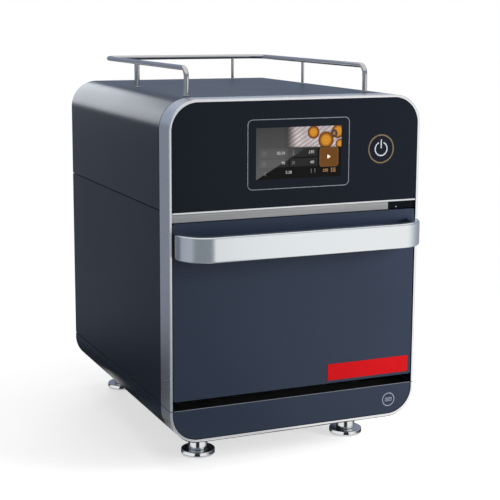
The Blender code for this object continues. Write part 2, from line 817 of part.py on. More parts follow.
def make_base_tray():
    high = LOWER_SEAM_Z - SEAM_GAP / 2
    path = tray_path(HALF_WIDTH, UNDERSIDE_Z, high, CORNER_RADIUS)
    path = [(HALF_WIDTH - SEAM_FOLD, high)] + path + [(-HALF_WIDTH + SEAM_FOLD, high)]
    rows = [at_depth(path, COVERS_FRONT_Y), at_depth(path, REAR_Y)]
    return sheet("base_tray", rows, SHEET, "paint")


def tray_floor_at(x):
    # Inner height of the base tray, which rises in its rounded corners.
    inner_radius = CORNER_RADIUS - SHEET
    reach = max(abs(x) - (HALF_WIDTH - CORNER_RADIUS), 0)
    return TRAY_FLOOR_Z + inner_radius - math.sqrt(inner_radius ** 2 - reach ** 2)


def slot_row(centre_x, centre_z, count):
    first = centre_z - (count - 1) * SLOT_PITCH / 2
    places = []
    for i in range(count):
        z = first + i * SLOT_PITCH
        low = (centre_x - SLOT_LENGTH / 2, PANEL_INNER_Y - CUT_OVERRUN, z - SLOT_HEIGHT / 2)
        high = (centre_x + SLOT_LENGTH / 2, PANEL_REAR_Y + CUT_OVERRUN, z + SLOT_HEIGHT / 2)
        places.append((low, high))
    return places


def make_rear_panel():
    half = INNER_HALF - SEAM_FOLD - SLIDE_GAP
    low = UNDERSIDE_Z + SHEET + SLIDE_GAP
    high = TOP_Z - SHEET - SLIDE_GAP
    inner_radius = CORNER_RADIUS - SHEET - SLIDE_GAP
    edge_radius = inner_radius - SEAM_FOLD
    outline = rounded_loop(-half, half, low, high, edge_radius, edge_radius, CORNER_STEPS)
    rim_y = PANEL_REAR_Y - REAR_RIM_DEPTH
    rows = [at_depth(outline, rim_y), at_depth(outline, PANEL_REAR_Y)]
    panel = sheet("rear_panel", rows, SHEET, "paint", closed=True, cap_rear=True)
    slots = slot_row(COOLER_X, COOLER_Z, COOLER_SLOTS)
    slots += slot_row(-LOW_SLOT_X, LOW_SLOT_Z, LOW_SLOTS)
    slots += slot_row(LOW_SLOT_X, LOW_SLOT_Z, LOW_SLOTS)
    cut(panel, boxes("rear_slots", slots))
    start = (GLAND_X, PANEL_INNER_Y - CUT_OVERRUN, GLAND_Z)
    length = SHEET + 2 * CUT_OVERRUN
    cut(panel, rod("gland_hole", start, length, GLAND_HOLE_RADIUS, "y"))
    return panel


def make_front_frame():
    low = LOWER_SEAM_Z + SEAM_GAP / 2
    outer = hood_path(HALF_WIDTH, low, TOP_Z, CORNER_RADIUS)
    inner = hood_path(
        HALF_WIDTH - FRAME_LIP, low, TOP_Z - FRAME_LIP, CORNER_RADIUS - FRAME_LIP)
    rows = [at_depth(inner, FRONT_Y), at_depth(outer, FRONT_Y), at_depth(outer, FRAME_REAR_Y)]
    frame = sheet("front_frame", rows, FRAME_SHEET, "satin_silver")
    bevel(frame, FRAME_EDGE_RADIUS, 1)
    return frame


# Control panel

def make_control_glass():
    outline = hood_path(FACE_HALF, GLASS_LOW_Z, GLASS_TOP_Z, FACE_RADIUS)
    key_hole = circle(KEY_X, KEY_Z, KEY_RADIUS + KEY_CLEARANCE, ROUND_STEPS)
    plate("control_glass", [outline, key_hole], GLASS_FRONT_Y, GLASS_THICKNESS, "standing",
          "black_glass")


def make_panel_trim():
    trim = box("panel_trim", (-FACE_HALF, FRONT_Y, TRIM_LOW_Z),
               (FACE_HALF, FRONT_Y + TRIM_DEPTH, TRIM_TOP_Z), "polished_steel")
    bevel(trim, FRAME_EDGE_RADIUS, 1)


def make_vent_strip():
    front = FRONT_Y + STRIP_SETBACK
    rear = FLANGE_Y - TOUCH_GAP
    right = SENSOR_LEFT_X - TOUCH_GAP
    profile = [(rear, STRIP_TOP_Z), (front, STRIP_TOP_Z), (front, STRIP_LOW_Z), (rear, STRIP_LOW_Z)]
    rows = [[(x, y, z) for y, z in profile] for x in (-FACE_HALF, right)]
    sheet("vent_strip", rows, SHEET, "brushed_steel")
    sensor = box("sensor_window", (SENSOR_LEFT_X, front, STRIP_LOW_Z),
                 (FACE_HALF, rear, STRIP_TOP_Z), "black_glass")
    bevel(sensor, FRAME_EDGE_RADIUS, 1)


def make_fascia_carrier():
    half = HALF_WIDTH - FRAME_SHEET - TOUCH_GAP
    high = TOP_Z - FRAME_SHEET - TOUCH_GAP
    radius = CORNER_RADIUS - FRAME_SHEET - TOUCH_GAP
    outline = hood_path(half, GLASS_LOW_Z, high, radius)
    low = DISPLAY_CENTRE_Z - CARRIER_WINDOW_HEIGHT / 2
    window = rectangle(-CARRIER_WINDOW_WIDTH / 2, CARRIER_WINDOW_WIDTH / 2,
                       low, low + CARRIER_WINDOW_HEIGHT)
    plate("fascia_carrier", [outline, window], CARRIER_Y, SHEET, "standing", "zinc_steel")


def make_display_module():
    front = GLASS_REAR_Y + TOUCH_GAP
    rear = CARRIER_Y - TOUCH_GAP
    low = DISPLAY_CENTRE_Z - DISPLAY_HEIGHT / 2
    high = low + DISPLAY_HEIGHT
    half = DISPLAY_WIDTH / 2
    module = box("display_module", (-half, front, low), (half, rear, high), "black_plastic")
    recess = box("display_recess",
                 (-half + DISPLAY_BEZEL, front - CUT_OVERRUN, low + DISPLAY_BEZEL),
                 (half - DISPLAY_BEZEL, front + DISPLAY_RECESS, high - DISPLAY_BEZEL))
    cut(module, recess)


def make_control_board():
    low = DISPLAY_CENTRE_Z - BOARD_HEIGHT / 2
    half = BOARD_WIDTH / 2
    front = CARRIER_REAR_Y + TOUCH_GAP + BOARD_STANDOFF
    board = box("control_board", (-half, front, low),
                (half, front + BOARD_THICKNESS, low + BOARD_HEIGHT), "circuit_board")
    span = (half - STANDOFF_INSET, BOARD_HEIGHT / 2 - STANDOFF_INSET)
    overlap = BOARD_THICKNESS / 2
    starts = [
        (sx * span[0], CARRIER_REAR_Y + TOUCH_GAP, DISPLAY_CENTRE_Z + sz * span[1])
        for sx in (-1, 1) for sz in (-1, 1)]
    join(board, rods("board_standoffs", starts, BOARD_STANDOFF + overlap, STANDOFF_RADIUS, "y"))
    back = front + overlap
    component_shares = [((-0.42, -0.30), (-0.12, 0.25)), ((0.02, -0.38), (0.20, 0.05)),
                        ((0.26, -0.10), (0.42, 0.35))]
    parts = []
    for low_share, high_share in component_shares:
        parts.append((
            (low_share[0] * BOARD_WIDTH, back, DISPLAY_CENTRE_Z + low_share[1] * BOARD_HEIGHT),
            (high_share[0] * BOARD_WIDTH, back + BOARD_STANDOFF + STANDOFF_INSET,
             DISPLAY_CENTRE_Z + high_share[1] * BOARD_HEIGHT)))
    join(board, boxes("board_components", parts))


def make_power_key():
    front = GLASS_FRONT_Y
    flange = GLASS_THICKNESS + TOUCH_GAP
    flange_radius = KEY_RADIUS + KEY_FLANGE_EXTRA
    rear = flange + KEY_FLANGE_THICKNESS
    tip = rear + KEY_STEM_LENGTH
    # Heights run along +Y from the key's front, so the profile starts at the rear tip.
    profile = [(0, tip), (KEY_STEM_RADIUS, tip), (KEY_STEM_RADIUS, rear), (flange_radius, rear),
               (flange_radius, flange), (KEY_RADIUS, flange), (KEY_RADIUS, 0), (0, 0)]
    key = turned("power_button", profile, (KEY_X, front, KEY_Z), "y", "black_glass")
    hang_on("power_key_slide", (KEY_X, front, KEY_Z), [key])
    plunger_y = front + tip + KEY_TRAVEL + TOUCH_GAP
    depth = CARRIER_Y - TOUCH_GAP - plunger_y
    profile = [(0, depth), (SWITCH_BODY_RADIUS, depth), (SWITCH_BODY_RADIUS, SWITCH_PLUNGER_LENGTH),
               (SWITCH_PLUNGER_RADIUS, SWITCH_PLUNGER_LENGTH), (SWITCH_PLUNGER_RADIUS, 0), (0, 0)]
    turned("power_switch", profile, (KEY_X, plunger_y, KEY_Z), "y", "black_plastic")


# Oven cavity

def cavity_loop(extra=0.0):
    radius = CAVITY_CORNER + extra
    return rounded_loop(-CAVITY_HALF - extra, CAVITY_HALF + extra, CAVITY_LOW_Z - extra,
                        CAVITY_TOP_Z + extra, radius, radius)


def hook_places():
    return [sign * HOOK_X for sign in SIDES.values()]


def make_oven_cavity():
    outer = rounded_loop(-FLANGE_HALF, FLANGE_HALF, FLANGE_LOW_Z, FLANGE_TOP_Z,
                         CAVITY_CORNER, CAVITY_CORNER)
    mouth = cavity_loop()
    rows = [at_depth(outer, FLANGE_Y), at_depth(mouth, FLANGE_Y), at_depth(mouth, LINER_REAR_Y)]
    liner = sheet("oven_cavity", rows, THIN_SHEET, "brushed_steel", closed=True, cap_rear=True,
                  outward=True)
    top_start = (0, FEED_Y, CAVITY_TOP_Z - CUT_OVERRUN)
    cut(liner, rod("feed_hole", top_start, THIN_SHEET + 2 * CUT_OVERRUN, FEED_RADIUS, "z"))
    rear_start = (0, LINER_REAR_Y - CUT_OVERRUN, CAVITY_MIDDLE_Z)
    length = THIN_SHEET + 2 * CUT_OVERRUN
    cut(liner, rod("shaft_hole", rear_start, length, SHAFT_HOLE_RADIUS, "y"))
    slot_z = DOOR_TOP_Z - HOOK_DROP
    slots = []
    for x in hook_places():
        low = (x - HOOK_SLOT_WIDTH / 2, FLANGE_Y - CUT_OVERRUN, slot_z - HOOK_SLOT_HEIGHT / 2)
        high = (x + HOOK_SLOT_WIDTH / 2, FLANGE_Y + CUT_OVERRUN, slot_z + HOOK_SLOT_HEIGHT / 2)
        slots.append((low, high))
    cut(liner, boxes("hook_slots", slots))
    ledges = []
    overlap = THIN_SHEET / 2
    ledge_z = CAVITY_LOW_Z + LEDGE_RISE
    for sign in SIDES.values():
        wall = sign * (CAVITY_HALF + overlap)
        inner = sign * (CAVITY_HALF - LEDGE_WIDTH)
        low = (min(wall, inner), FLANGE_Y + CAVITY_CORNER, ledge_z - LEDGE_HEIGHT)
        high = (max(wall, inner), GUARD_Y - CAVITY_CORNER, ledge_z)
        ledges.append((low, high))
    join(liner, boxes("plate_ledges", ledges))


def make_insulation():
    outward_gap = THIN_SHEET + TOUCH_GAP
    loop = cavity_loop(outward_gap)
    rear = LINER_REAR_Y + outward_gap
    rows = [at_depth(loop, BLANKET_FRONT_Y), at_depth(loop, rear)]
    blanket = sheet("cavity_insulation", rows, INSULATION, "insulation_wool", closed=True,
                    cap_rear=True, outward=True)
    half = GUIDE_WIDTH / 2 + TOUCH_GAP
    opening = box("guide_opening",
                  (GUIDE_LEFT_X - TOUCH_GAP, FEED_Y - half, CAVITY_TOP_Z),
                  (GUIDE_RIGHT_X + TOUCH_GAP, FEED_Y + half, GUIDE_LOW_Z + INSULATION + CUT_OVERRUN))
    cut(blanket, opening)
    start = (0, LINER_REAR_Y, CAVITY_MIDDLE_Z)
    length = INSULATION + 2 * CUT_OVERRUN
    cut(blanket, rod("blanket_hole", start, length, SHAFT_HOLE_RADIUS, "y"))


def make_jet_plate():
    high = CAVITY_TOP_Z - TOUCH_GAP
    low = CAVITY_TOP_Z - JET_PLATE_DROP
    half = CAVITY_HALF - CAVITY_CORNER - JET_PLATE_GAP
    front = FLANGE_Y + CAVITY_CORNER
    rear = GUARD_Y - JET_PLATE_GAP
    radius = CAVITY_CORNER
    # The plate hangs from the ceiling by its upturned rim.
    outline = rounded_loop(-half, half, front, rear, radius, radius)
    rim = [(x, y, high) for x, y in outline]
    floor = [(x, y, low) for x, y in outline]
    jets = sheet("upper_jet_plate", [rim, floor], THIN_SHEET, "brushed_steel", closed=True,
                 cap_rear=True)
    middle_y = (front + rear) / 2
    starts = []
    for column in range(JET_COLUMNS):
        for row in range(JET_ROWS):
            x = (column - (JET_COLUMNS - 1) / 2) * JET_PITCH
            y = middle_y + (row - (JET_ROWS - 1) / 2) * JET_PITCH
            starts.append((x, y, low - CUT_OVERRUN))
    length = THIN_SHEET + 2 * CUT_OVERRUN
    cut(jets, rods("jet_holes", starts, length, JET_RADIUS, "z"))


def make_fan_guard():
    half = CAVITY_HALF - TOUCH_GAP
    radius = CAVITY_CORNER
    outlines = [rounded_loop(-half, half, CAVITY_LOW_Z + TOUCH_GAP, CAVITY_TOP_Z - TOUCH_GAP,
                             radius, radius)]
    outlines.append(circle(0, CAVITY_MIDDLE_Z, GUARD_HOLE_RADIUS))
    for ring in range(1, GUARD_RINGS + 1):
        for across, up in ring_places(6 * ring, ring * GUARD_RING_PITCH):
            outlines.append(circle(across, CAVITY_MIDDLE_Z + up, GUARD_HOLE_RADIUS))
    plate("fan_guard", outlines, GUARD_Y, THIN_SHEET, "standing", "brushed_steel")


def make_catalyst():
    front = GUARD_Y + THIN_SHEET + CATALYST_GAP
    outlines = [circle(0, CAVITY_MIDDLE_Z, CATALYST_RADIUS, ROUND_STEPS)]
    for ring in range(1, CATALYST_RINGS + 1):
        for across, up in ring_places(6 * ring, ring * CATALYST_RING_PITCH):
            outlines.append(circle(across, CAVITY_MIDDLE_Z + up, CATALYST_HOLE_RADIUS, CELL_STEPS))
    block = plate("catalyst", outlines, front, CATALYST_THICKNESS, "standing", "ceramic")
    foot_y = GUARD_Y + THIN_SHEET + TOUCH_GAP
    reach = CATALYST_RADIUS - STANDOFF_RADIUS
    starts = [(across, foot_y, CAVITY_MIDDLE_Z + up)
              for across, up in ring_places(CATALYST_FEET, reach)]
    length = CATALYST_GAP + CATALYST_THICKNESS / 2
    join(block, rods("catalyst_feet", starts, length, STANDOFF_RADIUS / 2, "y", CELL_STEPS))


def make_heating_coil():
    front = GUARD_Y + THIN_SHEET + (FAN_CHAMBER_DEPTH - COIL_PITCH * COIL_TURNS) / 2
    seat = LINER_REAR_Y - TOUCH_GAP
    turns = []
    for i in range(COIL_TURNS * COIL_POINTS_A_TURN + 1):
        angle = TWO_PI * i / COIL_POINTS_A_TURN
        turns.append((COIL_RADIUS * math.cos(angle),
                      front + COIL_PITCH * i / COIL_POINTS_A_TURN,
                      CAVITY_MIDDLE_Z + COIL_RADIUS * math.sin(angle)))
    # Both ends turn back to the liner's rear wall, the first one clear of the second turn.
    leg_x = COIL_RADIUS + COIL_LEG_SPREAD
    leg_z = CAVITY_MIDDLE_Z - COIL_LEG_SPREAD
    first_leg = [(leg_x, seat, leg_z), (leg_x, front, leg_z), turns[0]]
    last_leg = [turns[-2], turns[-1], (COIL_RADIUS, seat, CAVITY_MIDDLE_Z)]
    points = filleted(first_leg, COIL_BEND, SMALL_STEPS) + turns[1:-2]
    points += filleted(last_leg, COIL_BEND, SMALL_STEPS)
    tube("heating_coil", points, COIL_TUBE_RADIUS, "heater_sheath", resolution=1)


def blade_ring(name, count, low, high, sheet_thickness, inner, outer, angle, axis_place):
    # Flat blades set round the Y axis through axis_place, each turned about its own length.
    bm = bmesh.new()
    for i in range(count):
        made = bmesh.ops.create_cube(bm, size=1.0)["verts"]
        size = Vector((outer - inner, high - low, sheet_thickness))
        bmesh.ops.scale(bm, vec=size, verts=made)
        bmesh.ops.rotate(bm, matrix=Matrix.Rotation(angle, 3, "X"), verts=made)
        bmesh.ops.translate(bm, vec=((inner + outer) / 2, (low + high) / 2, 0), verts=made)
        bmesh.ops.rotate(bm, matrix=Matrix.Rotation(TWO_PI * i / count, 3, "Y"), verts=made)
        bmesh.ops.translate(bm, vec=(axis_place[0], 0, axis_place[1]), verts=made)
    return add_object(name, mesh_from_bmesh(name, bm))


def make_convection_fan():
    front = GUARD_Y + FAN_FRONT_GAP
    disc = front + FAN_BLADE_DEPTH
    middle = (0, CAVITY_MIDDLE_Z)
    length = MOTOR_FACE_Y + MOTOR_LENGTH / 2 - SHAFT_END_GAP - disc
    # The back disc, hub and shaft are one turned piece, and the blades stand on the disc.
    profile = [(0, length), (SHAFT_RADIUS, length), (SHAFT_RADIUS, FAN_DISC),
               (FAN_RADIUS, FAN_DISC), (FAN_RADIUS, 0), (FAN_HUB_RADIUS, 0),
               (FAN_HUB_RADIUS, -FAN_BLADE_DEPTH / 2), (0, -FAN_BLADE_DEPTH / 2)]
    fan = turned("convection_fan", profile, (0, disc, CAVITY_MIDDLE_Z), "y", "brushed_steel")
    overlap = FAN_DISC / 2
    join(fan, blade_ring("fan_blades", FAN_BLADES, front, disc + overlap, FAN_BLADE_SHEET,
                         FAN_BLADE_INNER, FAN_RADIUS - FAN_BLADE_SHEET, 0.0, middle))
    hang_on("convection_fan_axis", (0, disc, CAVITY_MIDDLE_Z), [fan])


def make_fan_motor():
    face = MOTOR_FACE_Y
    bore = SHAFT_RADIUS + SLIDE_GAP
    length = MOTOR_LENGTH
    boss = SHAFT_HOLE_RADIUS + MOTOR_FACE_GAP
    # A cup-shaped can whose bearing boss reaches the insulation and whose bore is blind.
    profile = [(0, length), (MOTOR_RADIUS, length), (MOTOR_RADIUS, 0), (boss, 0),
               (boss, -MOTOR_FACE_GAP), (bore, -MOTOR_FACE_GAP), (bore, length / 2), (0, length / 2)]
    turned("fan_motor", profile, (0, face, CAVITY_MIDDLE_Z), "y", "cast_aluminium")


def make_cooking_plate():
    half = CAVITY_HALF - PLATE_CLEARANCE
    low = CAVITY_LOW_Z + LEDGE_RISE + TOUCH_GAP
    front = FLANGE_Y + CAVITY_CORNER + PLATE_CLEARANCE
    rear = GUARD_Y - PLATE_CLEARANCE
    radius = CAVITY_CORNER
    outline = rounded_loop(-half, half, front, rear, radius, radius)
    rim = [(x, y, low + PLATE_RIM) for x, y in outline]
    floor = [(x, y, low) for x, y in outline]
    dish = sheet("cooking_plate", [rim, floor], PLATE_THICKNESS, "cast_aluminium", closed=True,
                 cap_rear=True)
    middle_y = (front + rear) / 2
    hang_on("cooking_plate_lift", (0, middle_y, low), [dish])


# Microwave side

def make_waveguide():
    half = GUIDE_WIDTH / 2
    guide = box("waveguide", (GUIDE_LEFT_X, FEED_Y - half, GUIDE_LOW_Z),
                (GUIDE_RIGHT_X, FEED_Y + half, GUIDE_TOP_Z), "zinc_steel")
    hollow = box("guide_hollow",
                 (GUIDE_LEFT_X + THIN_SHEET, FEED_Y - half + THIN_SHEET, GUIDE_LOW_Z + THIN_SHEET),
                 (GUIDE_RIGHT_X - THIN_SHEET, FEED_Y + half - THIN_SHEET, GUIDE_TOP_Z - THIN_SHEET))
    cut(guide, hollow)
    length = THIN_SHEET + CUT_OVERRUN
    cut(guide, rod("guide_feed", (0, FEED_Y, GUIDE_LOW_Z - CUT_OVERRUN / 2), length, FEED_RADIUS, "z"))
    top = GUIDE_TOP_Z - THIN_SHEET - CUT_OVERRUN / 2
    cut(guide, rod("guide_antenna", (ANTENNA_X, FEED_Y, top), length, ANTENNA_HOLE_RADIUS, "z"))
    shaft_hole = STIRRER_SHAFT_RADIUS + SLIDE_GAP
    cut(guide, rod("guide_shaft", (0, FEED_Y, top), length, shaft_hole, "z"))


def make_magnetron():
    half_x = MAGNETRON_WIDTH / 2
    half_y = MAGNETRON_DEPTH / 2
    low = STAND_Z
    extra = MAGNETRON_BASE_EXTRA
    base = box("magnetron", (ANTENNA_X - half_x - extra, FEED_Y - half_y, low),
               (ANTENNA_X + half_x + extra, FEED_Y + half_y, low + MAGNETRON_BASE), "zinc_steel")
    body = box("magnetron_body", (ANTENNA_X - half_x, FEED_Y - half_y, low + MAGNETRON_BASE / 2),
               (ANTENNA_X + half_x, FEED_Y + half_y, low + MAGNETRON_HEIGHT))
    join(base, body)
    join(base, rod("antenna", (ANTENNA_X, FEED_Y, low + MAGNETRON_BASE / 2 - ANTENNA_LENGTH),
                   ANTENNA_LENGTH, ANTENNA_RADIUS, "z", steps=ROD_STEPS))
    gaps = []
    pitch = MAGNETRON_HEIGHT / (MAGNETRON_FINS + 1)
    for i in range(MAGNETRON_FINS):
        z = low + (i + 1) * pitch
        for sign in SIDES.values():
            face = FEED_Y + sign * (half_y + CUT_OVERRUN)
            inner = FEED_Y + sign * (half_y - MAGNETRON_FIN_CUT)
            gaps.append(((ANTENNA_X - half_x + MAGNETRON_FIN_CUT, min(face, inner),
                          z - MAGNETRON_FIN_GAP / 2),
                         (ANTENNA_X + half_x - MAGNETRON_FIN_CUT, max(face, inner),
                          z + MAGNETRON_FIN_GAP / 2)))
    cut(base, boxes("magnetron_fin_gaps", gaps))


def make_mode_stirrer():
    low = GUIDE_LOW_Z + STIRRER_RISE
    top = STIRRER_HUB_HEIGHT + STIRRER_SHAFT_LENGTH
    profile = [(0, top), (STIRRER_SHAFT_RADIUS, top), (STIRRER_SHAFT_RADIUS, STIRRER_HUB_HEIGHT),
               (STIRRER_HUB_RADIUS, STIRRER_HUB_HEIGHT), (STIRRER_HUB_RADIUS, 0), (0, 0)]
    stirrer = turned("mode_stirrer", profile, (0, FEED_Y, low), "z", "brushed_steel",
                     steps=ROD_STEPS)
    bm = bmesh.new()
    for i in range(STIRRER_BLADES):
        made = bmesh.ops.create_cube(bm, size=1.0)["verts"]
        inner = STIRRER_SHAFT_RADIUS
        size = (STIRRER_RADIUS - inner, STIRRER_BLADE_WIDTH, STIRRER_BLADE_SHEET)
        bmesh.ops.scale(bm, vec=size, verts=made)
        bmesh.ops.rotate(bm, matrix=Matrix.Rotation(COOLER_BLADE_ANGLE / 2, 3, "X"), verts=made)
        bmesh.ops.translate(bm, vec=((STIRRER_RADIUS + inner) / 2, 0, STIRRER_HUB_HEIGHT / 2),
                            verts=made)
        bmesh.ops.rotate(bm, matrix=Matrix.Rotation(TWO_PI * i / STIRRER_BLADES, 3, "Z"), verts=made)
        bmesh.ops.translate(bm, vec=(0, FEED_Y, low), verts=made)
    join(stirrer, add_object("stirrer_blades", mesh_from_bmesh("stirrer_blades", bm)))
    hang_on("mode_stirrer_axis", (0, FEED_Y, low), [stirrer])


def make_stirrer_motor():
    bore = STIRRER_SHAFT_RADIUS + SLIDE_GAP
    height = STIRRER_MOTOR_HEIGHT
    profile = [(bore, height), (STIRRER_MOTOR_RADIUS, height), (STIRRER_MOTOR_RADIUS, 0), (bore, 0)]
    turned("stirrer_motor", profile, (0, FEED_Y, STAND_Z), "z", "zinc_steel")


# Component shelf and electrics

def make_component_shelf():
    half = INNER_HALF - TOUCH_GAP
    high = SHELF_LOW_Z + SHELF_FLANGE
    path = [(half, high), (half, SHELF_LOW_Z), (-half, SHELF_LOW_Z), (-half, high)]
    front = FLANGE_Y + SHELF_FRONT_INSET
    rear = REAR_Y - SHELF_REAR_INSET
    shelf = sheet("component_shelf", [at_depth(path, front), at_depth(path, rear)], SHEET,
                  "zinc_steel")
    length = SHEET + 2 * CUT_OVERRUN
    start_z = SHELF_LOW_Z - CUT_OVERRUN
    hole = ANTENNA_HOLE_RADIUS
    cut(shelf, rod("shelf_antenna_hole", (ANTENNA_X, FEED_Y, start_z), length, hole, "z"))
    hole = STIRRER_SHAFT_RADIUS + SLIDE_GAP
    cut(shelf, rod("shelf_shaft_hole", (0, FEED_Y, start_z), length, hole, "z"))


def make_power_inverter():
    half = INVERTER_WIDTH / 2
    front = FLANGE_Y + INVERTER_FRONT_INSET
    rear = front + INVERTER_DEPTH
    top = STAND_Z + INVERTER_HEIGHT
    unit = box("power_inverter", (INVERTER_X - half, front, STAND_Z),
               (INVERTER_X + half, rear, top), "cast_aluminium")
    pitch = INVERTER_WIDTH / INVERTER_FINS
    gap = pitch * INVERTER_FIN_SHARE
    gaps = []
    for i in range(INVERTER_FINS - 1):
        x = INVERTER_X - half + (i + 1) * pitch
        gaps.append(((x - gap / 2, front - CUT_OVERRUN, top - INVERTER_FIN_DEPTH),
                     (x + gap / 2, rear + CUT_OVERRUN, top + CUT_OVERRUN)))
    cut(unit, boxes("inverter_fin_gaps", gaps))


def make_mains_filter():
    half = FILTER_BOX_WIDTH / 2
    rear = REAR_Y - SHELF_REAR_INSET - FILTER_BOX_GAP
    front = rear - FILTER_BOX_DEPTH
    top = STAND_Z + FILTER_BOX_HEIGHT
    unit = box("mains_filter", (FILTER_BOX_X - half, front, STAND_Z),
               (FILTER_BOX_X + half, rear, top), "zinc_steel")
    tags = []
    for sign in (-1, 0, 1):
        x = FILTER_BOX_X + sign * half / 2
        tags.append(((x - TERMINAL_SIZE / 2, front + TERMINAL_SIZE, top - TERMINAL_SIZE / 2),
                     (x + TERMINAL_SIZE / 2, front + 2 * TERMINAL_SIZE, top + TERMINAL_SIZE)))
    join(unit, boxes("filter_terminals", tags))


def make_cooling_fan():
    half = COOLER_SIZE / 2
    rear = PANEL_INNER_Y - TOUCH_GAP
    front = rear - COOLER_DEPTH
    corner = COOLER_CORNER
    edge = rounded_loop(COOLER_X - half, COOLER_X + half, COOLER_Z - half, COOLER_Z + half,
                        corner, corner)
    bore = circle(COOLER_X, COOLER_Z, COOLER_BORE_RADIUS, ROUND_STEPS)
    housing = plate("cooling_fan_housing", [edge, bore], front, COOLER_DEPTH, "standing",
                    "black_plastic")
    join(housing, rod("cooler_hub", (COOLER_X, front, COOLER_Z), COOLER_HUB_DEPTH,
                      COOLER_HUB_RADIUS, "y"))
    overlap = COOLER_CORNER / 2
    inner = COOLER_HUB_RADIUS - overlap
    outer = COOLER_BORE_RADIUS + overlap
    join(housing, blade_ring("cooler_struts", COOLER_STRUTS, front + SHEET / 2,
                             front + COOLER_STRUT + SHEET / 2, COOLER_STRUT, inner, outer, 0.0,
                             (COOLER_X, COOLER_Z)))
    start = front + COOLER_HUB_DEPTH + ROTOR_GAP
    profile = [(0, ROTOR_DEPTH), (COOLER_HUB_RADIUS, ROTOR_DEPTH), (COOLER_HUB_RADIUS, 0), (0, 0)]
    rotor = turned("cooling_fan_rotor", profile, (COOLER_X, start, COOLER_Z), "y", "black_plastic")
    chord = ROTOR_DEPTH / math.cos(COOLER_BLADE_ANGLE)
    blade_low = start + ROTOR_DEPTH / 2 - chord * COOLER_BLADE_SHARE / 2 - SHEET
    blade_high = start + ROTOR_DEPTH / 2 + chord * COOLER_BLADE_SHARE / 2 + SHEET
    join(rotor, blade_ring("rotor_blades", COOLER_BLADES, blade_low, blade_high,
                           COOLER_BLADE_SHEET, inner, COOLER_BLADE_RADIUS, COOLER_BLADE_ANGLE,
                           (COOLER_X, COOLER_Z)))
    hang_on("cooling_fan_axis", (COOLER_X, start, COOLER_Z), [rotor])


def make_cable_gland():
    # Heights run along +Y from the panel's outer face: nut inside, cap outside, bore right through.
    inner = -SHEET - TOUCH_GAP
    outer = TOUCH_GAP
    profile = [(GLAND_BORE_RADIUS, GLAND_PROUD), (GLAND_CAP_RADIUS, GLAND_PROUD),
               (GLAND_CAP_RADIUS, GLAND_NUT_LENGTH + outer),
               (GLAND_NUT_RADIUS, GLAND_NUT_LENGTH + outer), (GLAND_NUT_RADIUS, outer),
               (GLAND_BODY_RADIUS, outer), (GLAND_BODY_RADIUS, inner), (GLAND_NUT_RADIUS, inner),
               (GLAND_NUT_RADIUS, inner - GLAND_NUT_LENGTH),
               (GLAND_BODY_RADIUS, inner - GLAND_NUT_LENGTH),
               (GLAND_BODY_RADIUS, inner - GLAND_INNER_LENGTH),
               (GLAND_BORE_RADIUS, inner - GLAND_INNER_LENGTH)]
    turned("cable_gland", profile, (GLAND_X, PANEL_REAR_Y, GLAND_Z), "y", "black_plastic")


# Door

def notch_boxes(front, rear, low, high):
    notches = []
    for sign in SIDES.values():
        inner = sign * (TONGUE_INNER_X - NOTCH_GAP)
        outer = sign * (TONGUE_OUTER_X + NOTCH_GAP + BRACKET_PLATE_THICKNESS / 2)
        notches.append(((min(inner, outer), front, low), (max(inner, outer), rear, high)))
    return notches


def make_door_skin():
    radius = DOOR_CORNER_RADIUS
    outline = rounded_loop(-DOOR_HALF, DOOR_HALF, DOOR_LOW_Z, DOOR_TOP_Z, radius, radius)
    rows = [at_depth(outline, DOOR_FRONT_Y), at_depth(outline, SKIN_REAR_Y)]
    skin = sheet("door_skin", rows, SHEET, "paint", closed=True, cap_front=True)
    front = DOOR_FRONT_Y + SHEET + TOUCH_GAP
    notches = notch_boxes(front, SKIN_REAR_Y + CUT_OVERRUN, DOOR_LOW_Z - CUT_OVERRUN,
                          DOOR_LOW_Z + SHEET + TOUCH_GAP)
    cut(skin, boxes("skin_notches", notches))
    bevel(skin, DOOR_EDGE_RADIUS, 1)
    return skin


def make_door_insulation():
    half = DOOR_HALF - SLAB_SIDE_INSET
    front = DOOR_FRONT_Y + SHEET + TOUCH_GAP
    rear = SKIN_REAR_Y
    return box("door_insulation", (-half, front, DOOR_LOW_Z + SLAB_BOTTOM_INSET),
               (half, rear, DOOR_TOP_Z - SLAB_TOP_INSET), "insulation_wool")


def make_door_inner_pan():
    half = DOOR_HALF - PAN_RIM_INSET
    corner = DOOR_CORNER_RADIUS
    outer = rounded_loop(-half, half, DOOR_LOW_Z + PAN_RIM_INSET, DOOR_TOP_Z - PAN_RIM_INSET,
                         corner, corner)
    base = cavity_loop(-PLUG_CLEARANCE)
    face = cavity_loop(-PLUG_CLEARANCE - PLUG_DRAFT)
    plug_y = PAN_FACE_Y + PLUG_HEIGHT
    rows = [at_depth(outer, PAN_FACE_Y), at_depth(base, PAN_FACE_Y), at_depth(face, plug_y)]
    pan = sheet("door_inner_pan", rows, THIN_SHEET, "brushed_steel", closed=True, cap_rear=True)
    notches = []
    for sign in SIDES.values():
        inner = sign * (TONGUE_INNER_X - NOTCH_GAP)
        outer_x = sign * (DOOR_HALF + CUT_OVERRUN)
        notches.append(((min(inner, outer_x), SKIN_REAR_Y - CUT_OVERRUN, DOOR_LOW_Z - CUT_OVERRUN),
                        (max(inner, outer_x), PAN_FACE_Y + CUT_OVERRUN,
                         HINGE_Z + TONGUE_RADIUS + NOTCH_GAP)))
    cut(pan, boxes("pan_notches", notches))
    return pan


def make_door_seal():
    outlines = [cavity_loop(SEAL_OFFSET + SEAL_WIDTH), cavity_loop(SEAL_OFFSET)]
    front = PAN_FACE_Y + TOUCH_GAP
    thickness = FLANGE_Y - TOUCH_GAP - front
    seal = plate("door_seal", outlines, front, thickness, "standing", "silicone")
    bevel(seal, SEAL_EDGE_RADIUS, 1)
    return seal


